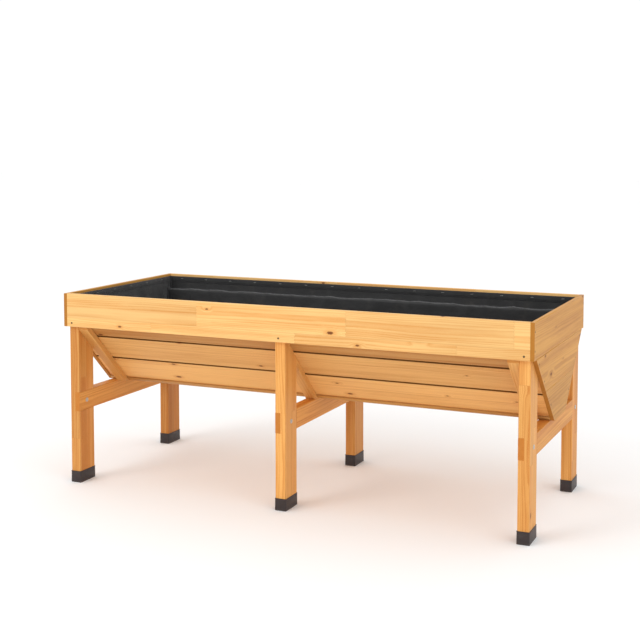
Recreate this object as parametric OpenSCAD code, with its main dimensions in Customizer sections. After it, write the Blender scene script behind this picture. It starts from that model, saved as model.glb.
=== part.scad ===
// Raised planter on six legs: a V-shaped slatted trough inside a rectangular rim.
// X runs along the length, -Y is the front, +Z is up and the feet stand on z = 0.

/* [Overall size] */

// Length over the two end rails, along X
length = 1800; // [1200:10:2400]

// Depth over the front and back rails, along Y
depth = 760; // [600:10:950]

// Height from the floor to the top of the rim
height = 725; // [600:5:900]

/* [Legs and feet] */

// Leg width along X
leg_w = 40; // [32:1:60]

// Leg depth along Y
leg_d = 92; // [70:1:120]

// Height of the plastic boot on each leg
foot_h = 44; // [25:1:70]

// Thickness of the boot wall around the leg
foot_wall = 2; // [1:0.5:4]

// Thickness of the boot under the leg
foot_floor = 4; // [2:0.5:8]

/* [Cross bars] */

// Height of the top of the cross bars above the floor
bar_top = 348; // [280:1:430]

// Height of a cross bar
bar_h = 73; // [50:1:100]

/* [Rim] */

// Height of the rim boards
rail_h = 125; // [90:1:160]

// Thickness of the front and back rails
rail_t = 16; // [12:1:25]

// Thickness of the end rails and of the end boards
end_t = 14; // [10:1:25]

// Thickness of the inner ledger and of the leg tongue behind the rail
ledger_t = 28; // [14:1:40]

// Height of the ledger above the lower edge of the rail
ledger_h = 60; // [35:1:90]

/* [Trough] */

// Width of the base over its upper face, made of two boards
base_w = 200; // [160:2:320]

// Thickness of the base boards
base_t = 14; // [10:1:22]

// Gap between the two base boards
base_gap = 4; // [2:1:10]

// Thickness of the side slats
slat_t = 14; // [10:1:22]

// Gap between neighbouring side slats
slat_gap = 8; // [1:0.5:12]

// Width of the narrow slat at the top of each side
top_slat_w = 49; // [30:1:80]

// How far the base edge and the end boards stand out past the slats
edge_reveal = 6; // [0:1:12]

// How far the slats end below the lower edge of the rim
slat_drop = 8; // [0:1:20]

// Gap between neighbouring end boards
board_gap = 0.5; // [0.5:0.5:4]

/* [Battens] */

// Width of the battens that carry the slats
batten_w = 38; // [25:1:60]

// Thickness of the battens
batten_t = 22; // [14:1:30]

/* [Liner] */

// Thickness of the fabric liner
liner_t = 1.5; // [1:0.5:3]

// Gap between the liner and the boards around it
liner_gap = 0.5; // [0.3:0.1:3]

// How far the liner edge ends below the top of the rim
liner_drop = 9; // [4:1:30]

/* [Fasteners] */

// Diameter of the bar bolts
bolt_d = 8; // [6:1:10]

// Diameter of the bolt head discs
bolt_head_d = 16; // [12:1:22]

// Thickness of the bolt head discs
bolt_head_h = 1.6; // [1:0.2:3]

// Width across the corners of the hexagon socket
socket_d = 6; // [4:0.5:8]

// Depth of the hexagon socket
socket_depth = 1.2; // [0.6:0.2:2]

// Shank diameter of the wood screws
screw_d = 3.6; // [3:0.2:5]

// Head diameter of the wood screws
screw_head_d = 7; // [6:0.5:10]

// Head height of the wood screws
screw_head_h = 1.6; // [1:0.2:3]

// Length of the rail, end and base screws
screw_long = 32; // [24:1:50]

// Length of the batten screws
screw_short = 28; // [20:1:34]

// Clearance around screws and bolts
drill_fit = 0.2; // [0.1:0.1:0.6]

// Height of the leg screws above the lower edge of the rail
screw_rise = 14; // [8:1:30]

/* [Hidden] */

$fn = 48;

// Planes that several pieces share, as distances from the middle
end_in = length / 2 - end_t;
rail_in = depth / 2 - rail_t;
ledger_in = rail_in - ledger_t;
leg_in = rail_in - leg_d;
end_leg_x = end_in - leg_w / 2;

// Shared heights
rail_low = height - rail_h;
ledger_top = rail_low + ledger_h;
base_top = bar_top + base_t;
bar_mid = bar_top - bar_h / 2;
board_h = (rail_low - bar_top) / 2;
liner_top = height - liner_drop;

// The sloping side: outer face of the slats, from its foot to the ledger
slat_foot = base_w / 2 - edge_reveal;
slope_rise = rail_low - slat_drop - base_top;
slope_run = ledger_in - slat_foot;
slope_len = sqrt(slope_rise * slope_rise + slope_run * slope_run);
lean = atan(slope_run / slope_rise);
slat_w = (slope_len - top_slat_w - 2 * slat_gap) / 2;

// Where the screws sit along the slope
low_slat_mid = slat_w / 2;
mid_slat_mid = slat_w * 3 / 2 + slat_gap;
top_slat_mid = slope_len - top_slat_w / 2;

// How far up a screw in the middle batten may sit before it meets the leg
mid_batten_limit =
  (leg_in - slat_foot - (screw_short - slat_t) * cos(lean) - 2 * screw_d) / sin(lean);
mid_batten_screws = [
  min(low_slat_mid, mid_batten_limit),
  if (mid_batten_limit > slat_w + slat_gap + screw_head_d)
    min(slat_w + slat_gap + slat_w / 3, mid_batten_limit)
];

// Small overshoot that keeps cuts clean
over = 1;

// Half width of the slope at height z, moved outward by offset
function y_at(z, offset) = slat_foot + (z - base_top) * tan(lean) + offset / cos(lean);

// Height of the slope at half width y, moved outward by offset
function z_at(y, offset) = base_top + (y - slat_foot - offset / cos(lean)) / tan(lean);

// Point on the front slope: along the slope by s, inward from the outer face by inset
function on_slope(s, inset) = [
  -(slat_foot + s * sin(lean) - inset * cos(lean)),
  base_top + s * cos(lean) + inset * sin(lean)
];

// Centre of a leg along X: place is -1, 0 or 1
function leg_x(place) = place * end_leg_x;

// Centre of a batten along X: end battens stand beside their legs
function batten_x(place) = place * (end_leg_x - leg_w / 2 - batten_w / 2);

// Turns a profile drawn in Y and Z into a solid between two X planes
module along_x(x_from, x_to) {
  translate([x_from, 0, 0])
    rotate([90, 0, 90])
      linear_extrude(height = x_to - x_from)
        children();
}

module to_back(is_back) {
  mirror([0, is_back ? 1 : 0, 0])
    children();
}

module to_right(is_right) {
  mirror([is_right ? 0 : 1, 0, 0])
    children();
}

// ---------- fasteners and their drilled rooms ----------

// A screw pointing down with its head just under z = 0; room makes the matching cut
module screw(reach, room) {
  head_top = room > 0 ? over : -drill_fit;
  translate([0, 0, -reach - room])
    cylinder(d = screw_d + 2 * room, h = reach + room - drill_fit);
  translate([0, 0, -drill_fit - screw_head_h - room])
    cylinder(d = screw_head_d + 2 * room, h = head_top + drill_fit + screw_head_h + room);
}

// Screws through the long rails into the leg tongues
module leg_screw_set(room) {
  for (is_back = [false, true])
    for (place = [-1, 0, 1])
      to_back(is_back)
        translate([leg_x(place), -depth / 2, rail_low + screw_rise])
          rotate([90, 0, 0])
            screw(screw_long, room);
}

// Screws through the end rails into the ends of the long rails
module corner_screw_set(room) {
  for (is_right = [false, true])
    for (is_back = [false, true])
      for (share = [1 / 4, 3 / 4])
        to_right(is_right)
          to_back(is_back)
            translate([length / 2, -(depth - rail_t) / 2, rail_low + rail_h * share])
              rotate([0, 90, 0])
                screw(screw_long, room);
}

// Screws through the end boards into the ends of the slats
module end_screw_set(room) {
  for (is_right = [false, true])
    for (is_back = [false, true])
      for (s = [low_slat_mid, mid_slat_mid, top_slat_mid])
        to_right(is_right)
          to_back(is_back)
            translate([length / 2, on_slope(s, slat_t / 2)[0], on_slope(s, slat_t / 2)[1]])
              rotate([0, 90, 0])
                screw(screw_long, room);
}

// Screws down through the base boards into the cross bars
module base_screw_set(room) {
  for (is_back = [false, true])
    for (place = [-1, 0, 1])
      to_back(is_back)
        translate([leg_x(place), -base_w / 4, base_top])
          screw(screw_long, room);
}

// Screws from inside the trough through the slats into the battens
module batten_screw_set(room) {
  for (is_back = [false, true]) {
    for (place = [-1, 1])
      for (s = [low_slat_mid, mid_slat_mid, top_slat_mid])
        batten_screw(is_back, place, s, room);
    for (s = mid_batten_screws)
      batten_screw(is_back, 0, s, room);
  }
}

module batten_screw(is_back, place, s, room) {
  to_back(is_back)
    translate([batten_x(place), on_slope(s, slat_t)[0], on_slope(s, slat_t)[1]])
      rotate([lean - 90, 0, 0])
        screw(screw_short, room);
}

// One bolt across a leg, centred on the origin, with a socket in each head disc
module bolt() {
  rotate([0, 90, 0])
    translate([0, 0, -leg_w / 2])
      cylinder(d = bolt_d, h = leg_w);
  for (is_right = [false, true])
    to_right(is_right)
      difference() {
        translate([leg_w / 2, 0, 0])
          rotate([0, 90, 0])
            cylinder(d = bolt_head_d, h = bolt_head_h);
        translate([leg_w / 2 + bolt_head_h - socket_depth, 0, 0])
          rotate([0, 90, 0])
            cylinder(d = socket_d, h = socket_depth + over, $fn = 6);
      }
}

module bolt_room() {
  rotate([0, 90, 0])
    translate([0, 0, -leg_w / 2 - over])
      cylinder(d = bolt_d + 2 * drill_fit, h = leg_w + 2 * over);
}

// ---------- legs, boots and cross bars ----------

// The side that gives up half its thickness to the bar: towards the middle of the planter
module lap_block(place) {
  lap_from = place < 0 ? 0 : -leg_w / 2;
  translate([lap_from, -rail_in, bar_top - bar_h])
    cube([leg_w / 2, leg_d, bar_h]);
}

// A leg with its tongue behind the rail, its slope under the slats and its lap notch
module leg(place, is_back) {
  color([0.90, 0.64, 0.34])
    difference() {
      translate([leg_x(place), 0, 0])
        to_back(is_back)
          difference() {
            along_x(-leg_w / 2, leg_w / 2)
              polygon([
                [-rail_in, foot_floor],
                [-rail_in, ledger_top],
                [-ledger_in, ledger_top],
                [-ledger_in, z_at(ledger_in, 0)],
                [-leg_in, z_at(leg_in, 0)],
                [-leg_in, foot_floor]
              ]);
            lap_block(place);
            translate([0, -rail_in + leg_d / 2, bar_mid])
              bolt_room();
          }
      leg_screw_set(drill_fit);
    }
}

// A plastic boot: an open-topped box that the leg stands in
module boot(place, is_back) {
  color([0.16, 0.14, 0.14])
    translate([leg_x(place), 0, 0])
      to_back(is_back)
        difference() {
          translate([-leg_w / 2 - foot_wall, -rail_in - foot_wall, 0])
            cube([leg_w + 2 * foot_wall, leg_d + 2 * foot_wall, foot_h]);
          translate([-leg_w / 2, -rail_in, foot_floor])
            cube([leg_w, leg_d, foot_h]);
        }
}

// A cross bar: full thickness between the legs, half thickness in the laps
module cross_bar(place) {
  color([0.84, 0.56, 0.28])
    difference() {
      translate([leg_x(place), 0, 0])
        difference() {
          union() {
            translate([-leg_w / 2, -leg_in, bar_top - bar_h])
              cube([leg_w, 2 * leg_in, bar_h]);
            for (is_back = [false, true])
              to_back(is_back)
                lap_block(place);
          }
          for (is_back = [false, true])
            to_back(is_back)
              translate([0, -rail_in + leg_d / 2, bar_mid])
                bolt_room();
        }
      base_screw_set(drill_fit);
    }
}

// ---------- rim ----------

module long_rail(is_back) {
  color([0.95, 0.74, 0.45])
    difference() {
      to_back(is_back)
        translate([-end_in, -depth / 2, rail_low])
          cube([2 * end_in, rail_t, rail_h]);
      leg_screw_set(drill_fit);
      corner_screw_set(drill_fit);
    }
}

module end_rail(is_right) {
  color([0.82, 0.58, 0.34])
    difference() {
      to_right(is_right)
        translate([end_in, -depth / 2, rail_low])
          cube([end_t, depth, rail_h]);
      corner_screw_set(drill_fit);
    }
}

// The strip behind a long rail, between two legs
module ledger(is_right, is_back) {
  color([0.85, 0.60, 0.32])
    to_right(is_right)
      to_back(is_back)
        translate([leg_w / 2, -rail_in, rail_low])
          cube([end_leg_x - leg_w, ledger_t, ledger_h]);
}

// ---------- trough ----------

// One end board; level 0 is the lower board and 1 the upper one
module end_board(is_right, level) {
  z_from = bar_top + level * board_h;
  z_to = z_from + board_h - board_gap;
  color([0.80, 0.56, 0.32])
    difference() {
      to_right(is_right)
        along_x(end_in, length / 2)
          polygon([
            [-y_at(z_from, 0) - edge_reveal, z_from],
            [y_at(z_from, 0) + edge_reveal, z_from],
            [y_at(z_to, 0) + edge_reveal, z_to],
            [-y_at(z_to, 0) - edge_reveal, z_to]
          ]);
      end_screw_set(drill_fit);
    }
}

module slat(is_back, profile) {
  color([0.88, 0.62, 0.34])
    difference() {
      to_back(is_back)
        along_x(-end_in, end_in)
          polygon(profile);
      end_screw_set(drill_fit);
      batten_screw_set(drill_fit);
    }
}

low_slat_profile = [
  on_slope(0, 0),
  on_slope(slat_w, 0),
  on_slope(slat_w, slat_t),
  [-y_at(base_top, -slat_t), base_top]
];

mid_slat_profile = [
  on_slope(slat_w + slat_gap, 0),
  on_slope(2 * slat_w + slat_gap, 0),
  on_slope(2 * slat_w + slat_gap, slat_t),
  on_slope(slat_w + slat_gap, slat_t)
];

top_slat_profile = [
  on_slope(2 * slat_w + 2 * slat_gap, 0),
  [-ledger_in, z_at(ledger_in, 0)],
  [-ledger_in, z_at(ledger_in, -slat_t)],
  on_slope(2 * slat_w + 2 * slat_gap, slat_t)
];

// A base board between the end boards, its outer edge cut to the slope
module base_board(is_back) {
  color([0.84, 0.58, 0.30])
    difference() {
      to_back(is_back)
        along_x(-end_in, end_in)
          polygon([
            [-y_at(bar_top, 0) - edge_reveal, bar_top],
            [-base_gap / 2, bar_top],
            [-base_gap / 2, base_top],
            [-y_at(base_top, 0) - edge_reveal, base_top]
          ]);
      base_screw_set(drill_fit);
    }
}

// End battens pass beside their legs, from the underside of the base to the ledger
module end_batten(place, is_back) {
  color([0.87, 0.62, 0.34])
    difference() {
      translate([batten_x(place), 0, 0])
        to_back(is_back)
          along_x(-batten_w / 2, batten_w / 2)
            polygon([
              [-y_at(base_top, 0), base_top],
              [-y_at(base_top, 0) - edge_reveal, base_top],
              [-y_at(bar_top, 0) - edge_reveal, bar_top],
              [-y_at(bar_top, batten_t), bar_top],
              [-rail_in, z_at(rail_in, batten_t)],
              [-rail_in, rail_low],
              [-ledger_in, rail_low],
              [-ledger_in, z_at(ledger_in, 0)]
            ]);
      batten_screw_set(drill_fit);
    }
}

// The middle batten stands on its cross bar and ends against the middle leg
module mid_batten(is_back) {
  color([0.87, 0.62, 0.34])
    difference() {
      to_back(is_back)
        along_x(-batten_w / 2, batten_w / 2)
          polygon([
            [-y_at(base_top, 0), base_top],
            [-y_at(base_top, 0) - edge_reveal, base_top],
            [-y_at(bar_top, 0) - edge_reveal, bar_top],
            [-y_at(bar_top, batten_t), bar_top],
            [-leg_in, z_at(leg_in, batten_t)],
            [-leg_in, z_at(leg_in, 0)]
          ]);
      batten_screw_set(drill_fit);
    }
}

// ---------- liner ----------

// Half of the liner profile, inset from the boards around it; rise lifts its open edge
function liner_half(inset, rise) = [
  [y_at(base_top + inset, -slat_t - inset), base_top + inset],
  [ledger_in - inset, z_at(ledger_in - inset, -slat_t - inset)],
  [ledger_in - inset, ledger_top + inset],
  [rail_in - inset, ledger_top + inset],
  [rail_in - inset, liner_top + rise]
];

module liner_block(inset, rise) {
  half = liner_half(inset, rise);
  other = [for (i = [len(half) - 1:-1:0]) [-half[i][0], half[i][1]]];
  along_x(-end_in + inset, end_in - inset)
    polygon(concat(half, other));
}

module liner() {
  color([0.12, 0.12, 0.13])
    difference() {
      liner_block(liner_gap, 0);
      liner_block(liner_gap + liner_t, over);
    }
}

// ---------- fastener nodes ----------

module bar_bolts() {
  color([0.75, 0.75, 0.76])
    for (is_back = [false, true])
      for (place = [-1, 0, 1])
        translate([leg_x(place), 0, 0])
          to_back(is_back)
            translate([0, -rail_in + leg_d / 2, bar_mid])
              bolt();
}

module steel() {
  color([0.72, 0.70, 0.66])
    children();
}

leg(-1, false);  // leg_front_left
leg(0, false);  // leg_front_mid
leg(1, false);  // leg_front_right
leg(-1, true);  // leg_back_left
leg(0, true);  // leg_back_mid
leg(1, true);  // leg_back_right
boot(-1, false);  // boot_front_left
boot(0, false);  // boot_front_mid
boot(1, false);  // boot_front_right
boot(-1, true);  // boot_back_left
boot(0, true);  // boot_back_mid
boot(1, true);  // boot_back_right
cross_bar(-1);  // cross_bar_left
cross_bar(0);  // cross_bar_mid
cross_bar(1);  // cross_bar_right
long_rail(false);  // rail_front
long_rail(true);  // rail_back
end_rail(false);  // rail_end_left
end_rail(true);  // rail_end_right
ledger(false, false);  // ledger_front_left
ledger(true, false);  // ledger_front_right
ledger(false, true);  // ledger_back_left
ledger(true, true);  // ledger_back_right
end_board(false, 0);  // end_board_left_low
end_board(false, 1);  // end_board_left_high
end_board(true, 0);  // end_board_right_low
end_board(true, 1);  // end_board_right_high
slat(false, low_slat_profile);  // slat_front_low
slat(false, mid_slat_profile);  // slat_front_mid
slat(false, top_slat_profile);  // slat_front_top
slat(true, low_slat_profile);  // slat_back_low
slat(true, mid_slat_profile);  // slat_back_mid
slat(true, top_slat_profile);  // slat_back_top
base_board(false);  // base_board_front
base_board(true);  // base_board_back
end_batten(-1, false);  // batten_front_left
mid_batten(false);  // batten_front_mid
end_batten(1, false);  // batten_front_right
end_batten(-1, true);  // batten_back_left
mid_batten(true);  // batten_back_mid
end_batten(1, true);  // batten_back_right
liner();
bar_bolts();
steel() leg_screw_set(0);  // leg_screws
steel() corner_screw_set(0);  // corner_screws
steel() end_screw_set(0);  // end_screws
steel() base_screw_set(0);  // base_screws
steel() batten_screw_set(0);  // batten_screws
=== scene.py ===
"""Looks of a raised planter on six legs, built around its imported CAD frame.

Every timber is cut again with eased edges and its own grain, and takes the place
of its CAD node. Boots, bolt heads, screw heads, the fabric liner and its staples
are made here too. All lengths are in metres, in the frame of the CAD part:
X along the planter, -Y the front, +Z up, with the boots standing on z = 0.
"""

import logging
import math
import random
from dataclasses import dataclass, field
from enum import Enum
from typing import Callable, Iterable, Sequence, Union

import bmesh
import bpy
import numpy as np
from mathutils import Matrix, Vector, noise


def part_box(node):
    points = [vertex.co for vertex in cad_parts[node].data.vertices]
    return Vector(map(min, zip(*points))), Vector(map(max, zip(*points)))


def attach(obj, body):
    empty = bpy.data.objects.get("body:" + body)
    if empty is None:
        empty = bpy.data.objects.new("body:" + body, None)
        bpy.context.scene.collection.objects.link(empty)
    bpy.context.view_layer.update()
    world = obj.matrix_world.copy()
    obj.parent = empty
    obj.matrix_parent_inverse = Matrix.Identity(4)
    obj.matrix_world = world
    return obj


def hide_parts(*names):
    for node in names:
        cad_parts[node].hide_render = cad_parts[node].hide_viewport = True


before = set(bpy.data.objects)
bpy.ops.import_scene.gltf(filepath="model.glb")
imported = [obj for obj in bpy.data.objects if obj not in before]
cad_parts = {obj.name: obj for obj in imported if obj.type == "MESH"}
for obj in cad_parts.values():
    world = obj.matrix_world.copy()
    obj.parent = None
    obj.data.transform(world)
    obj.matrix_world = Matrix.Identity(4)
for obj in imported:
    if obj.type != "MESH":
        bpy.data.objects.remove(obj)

LOG = logging.getLogger("planter")

MM = 0.001
BODY = "root"

Colour = tuple[float, float, float]
Number = Union[int, float]


class Side(Enum):
    """Where a piece sits along the planter's length."""

    LEFT = -1
    MID = 0
    RIGHT = 1

    def __str__(self) -> str:
        """Its word in the name of a piece."""
        return self.name.lower()


class Row(Enum):
    """Which long side of the planter a piece belongs to."""

    FRONT = -1
    BACK = 1

    def __str__(self) -> str:
        """Its word in the name of a piece."""
        return self.name.lower()


# --------------------------------------------------------------------------
# Shader building
# --------------------------------------------------------------------------


class Signal:
    """A number on its way through a finish, so that finishes read as arithmetic."""

    def __init__(self, sheet: "FinishSheet", socket: bpy.types.NodeSocket) -> None:
        """Keeps the finish being built and the socket that gives the number."""
        self.sheet = sheet
        self.socket = socket

    def _maths(self, operation: str, *values: "Signal | Number") -> "Signal":
        """Adds one Math node.

        Args:
            operation: the Math node's operation.
            values: the node's inputs, in order.

        Returns:
            The node's result.
        """
        made = self.sheet.node(
            "ShaderNodeMath", {"operation": operation}, dict(enumerate(values))
        )
        return Signal(self.sheet, made.outputs[0])

    def __add__(self, other: "Signal | Number") -> "Signal":
        """Sum."""
        return self._maths("ADD", self, other)

    def __radd__(self, other: Number) -> "Signal":
        """Sum with a plain number first."""
        return self._maths("ADD", other, self)

    def __sub__(self, other: "Signal | Number") -> "Signal":
        """Difference."""
        return self._maths("SUBTRACT", self, other)

    def __rsub__(self, other: Number) -> "Signal":
        """Difference from a plain number."""
        return self._maths("SUBTRACT", other, self)

    def __mul__(self, other: "Signal | Number") -> "Signal":
        """Product."""
        return self._maths("MULTIPLY", self, other)

    def __rmul__(self, other: Number) -> "Signal":
        """Product with a plain number first."""
        return self._maths("MULTIPLY", other, self)

    def __truediv__(self, other: "Signal | Number") -> "Signal":
        """Quotient."""
        return self._maths("DIVIDE", self, other)

    def __pow__(self, other: "Signal | Number") -> "Signal":
        """Power."""
        return self._maths("POWER", self, other)

    def __gt__(self, other: "Signal | Number") -> "Signal":
        """1 where this is greater, else 0."""
        return self._maths("GREATER_THAN", self, other)

    def __lt__(self, other: "Signal | Number") -> "Signal":
        """1 where this is less, else 0."""
        return self._maths("LESS_THAN", self, other)

    def __abs__(self) -> "Signal":
        """Size without sign."""
        return self._maths("ABSOLUTE", self)

    def floor(self) -> "Signal":
        """Whole number below."""
        return self._maths("FLOOR", self)

    def fract(self) -> "Signal":
        """Part after the whole number."""
        return self._maths("FRACT", self)

    def ping_pong(self, span: Number) -> "Signal":
        """Triangle wave between 0 and span."""
        return self._maths("PINGPONG", self, span)

    def most(self, other: "Signal | Number") -> "Signal":
        """The greater of the two."""
        return self._maths("MAXIMUM", self, other)

    def step(self, low: Number, high: Number) -> "Signal":
        """A smooth step.

        Args:
            low: where the step starts, at 0.
            high: where it ends, at 1. It may be below low.

        Returns:
            The step, held between 0 and 1.
        """
        made = self.sheet.node(
            "ShaderNodeMapRange",
            {"interpolation_type": "SMOOTHSTEP"},
            {"Value": self, "From Min": low, "From Max": high},
        )
        return Signal(self.sheet, made.outputs["Result"])


Feed = Union[Signal, Number, Sequence[Number], bpy.types.NodeSocket]


class FinishSheet:
    """The node tree of one finish, with the few steps that every finish uses."""

    def __init__(self, name: str) -> None:
        """Starts an empty material called name."""
        self.material = bpy.data.materials.new(name)
        self.material.use_nodes = True
        self.tree = self.material.node_tree
        self.tree.nodes.clear()

    def node(
        self, kind: str, settings: dict[str, object], feeds: dict[str | int, Feed]
    ) -> bpy.types.Node:
        """Adds one node.

        Args:
            kind: the node's type.
            settings: its own settings, or "stops" for a colour ramp.
            feeds: the value or link of each socket, by name or number.

        Returns:
            The new node.
        """
        made = self.tree.nodes.new(kind)
        for name, value in settings.items():
            if name == "stops":
                self._set_stops(made, value)
            else:
                setattr(made, name, value)
        for name, value in feeds.items():
            self._feed(made.inputs[name], value)
        return made

    def _feed(self, socket: bpy.types.NodeSocket, value: Feed) -> None:
        """Links a socket to what feeds it, or sets its plain value."""
        source = value.socket if isinstance(value, Signal) else value
        if isinstance(source, bpy.types.NodeSocket):
            self.tree.links.new(source, socket)
        elif socket.type == "RGBA":
            socket.default_value = (*source, 1.0)
        else:
            socket.default_value = source

    @staticmethod
    def _set_stops(ramp: bpy.types.Node, stops: Sequence[tuple[float, Colour]]) -> None:
        """Sets a colour ramp's stops."""
        elements = ramp.color_ramp.elements
        while len(elements) < len(stops):
            elements.new(1.0)
        for element, (place, colour) in zip(elements, stops):
            element.position = place
            element.color = (*colour, 1.0)

    def attribute(self, name: str) -> bpy.types.Node:
        """Reads one of the piece's own attributes."""
        return self.node("ShaderNodeAttribute", {"attribute_name": name}, {})

    def object_place(self) -> bpy.types.NodeSocket:
        """The point's place in the object's own frame."""
        return self.node("ShaderNodeTexCoord", {}, {}).outputs["Object"]

    def split(self, vector: Feed) -> tuple[Signal, Signal, Signal]:
        """The three parts of a vector."""
        made = self.node("ShaderNodeSeparateXYZ", {}, {"Vector": vector})
        return tuple(Signal(self, made.outputs[i]) for i in range(3))

    def join(self, x: Feed, y: Feed, z: Feed) -> bpy.types.NodeSocket:
        """A vector from three numbers."""
        return self.node("ShaderNodeCombineXYZ", {}, {0: x, 1: y, 2: z}).outputs[0]

    def vector(self, operation: str, *values: Feed) -> bpy.types.NodeSocket:
        """One Vector Math node's vector result."""
        made = self.node(
            "ShaderNodeVectorMath", {"operation": operation}, dict(enumerate(values))
        )
        return made.outputs[0]

    def noise(self, place: Feed, detail: float = 2.0, rough: float = 0.5) -> Signal:
        """Soft noise at a place that already carries its scale."""
        made = self.node(
            "ShaderNodeTexNoise",
            {},
            {"Vector": place, "Scale": 1.0, "Detail": detail, "Roughness": rough},
        )
        return Signal(self, made.outputs["Fac"])

    def dice(self, seed: Signal) -> tuple[Signal, Signal, Signal]:
        """Three unrelated numbers from 0 to 1 for each value of seed."""
        made = self.node("ShaderNodeTexWhiteNoise", {"noise_dimensions": "1D"}, {"W": seed})
        return self.split(made.outputs["Color"])

    def mix(
        self, share: Feed, first: Feed, second: Feed, blend: str = "MIX"
    ) -> bpy.types.NodeSocket:
        """Blends two colours.

        Args:
            share: how much of the second colour, from 0 to 1.
            first: the colour at 0.
            second: the colour at 1.
            blend: the blend mode.

        Returns:
            The blended colour.
        """
        factor, one, two, blended = 0, 6, 7, 2
        made = self.node(
            "ShaderNodeMix",
            {"data_type": "RGBA", "blend_type": blend},
            {factor: share, one: first, two: second},
        )
        return made.outputs[blended]

    def shade(self, share: Signal) -> bpy.types.NodeSocket:
        """A grey whose brightness is share, for multiplying colours."""
        return self.join(share, share, share)

    def bump(self, height: Signal, strength: float, depth: float) -> bpy.types.NodeSocket:
        """A normal from a height between 0 and 1."""
        made = self.node(
            "ShaderNodeBump", {}, {"Height": height, "Strength": strength, "Distance": depth}
        )
        return made.outputs["Normal"]

    def finish(self, **feeds: Feed) -> bpy.types.Material:
        """Closes the tree with a Principled shader.

        Args:
            feeds: its sockets, with an underscore for each blank.

        Returns:
            The finished material.
        """
        named = {key.replace("_", " "): value for key, value in feeds.items()}
        shader = self.node("ShaderNodeBsdfPrincipled", {}, named)
        self.node("ShaderNodeOutputMaterial", {}, {"Surface": shader.outputs[0]})
        return self.material


def srgb(red: int, green: int, blue: int) -> Colour:
    """A linear colour from its 0 to 255 screen values."""

    def linear(value: int) -> float:
        """One channel in linear light."""
        share = value / 255
        return share / 12.92 if share <= 0.04045 else ((share + 0.055) / 1.055) ** 2.4

    return linear(red), linear(green), linear(blue)


# --------------------------------------------------------------------------
# Finishes
# --------------------------------------------------------------------------


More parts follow.
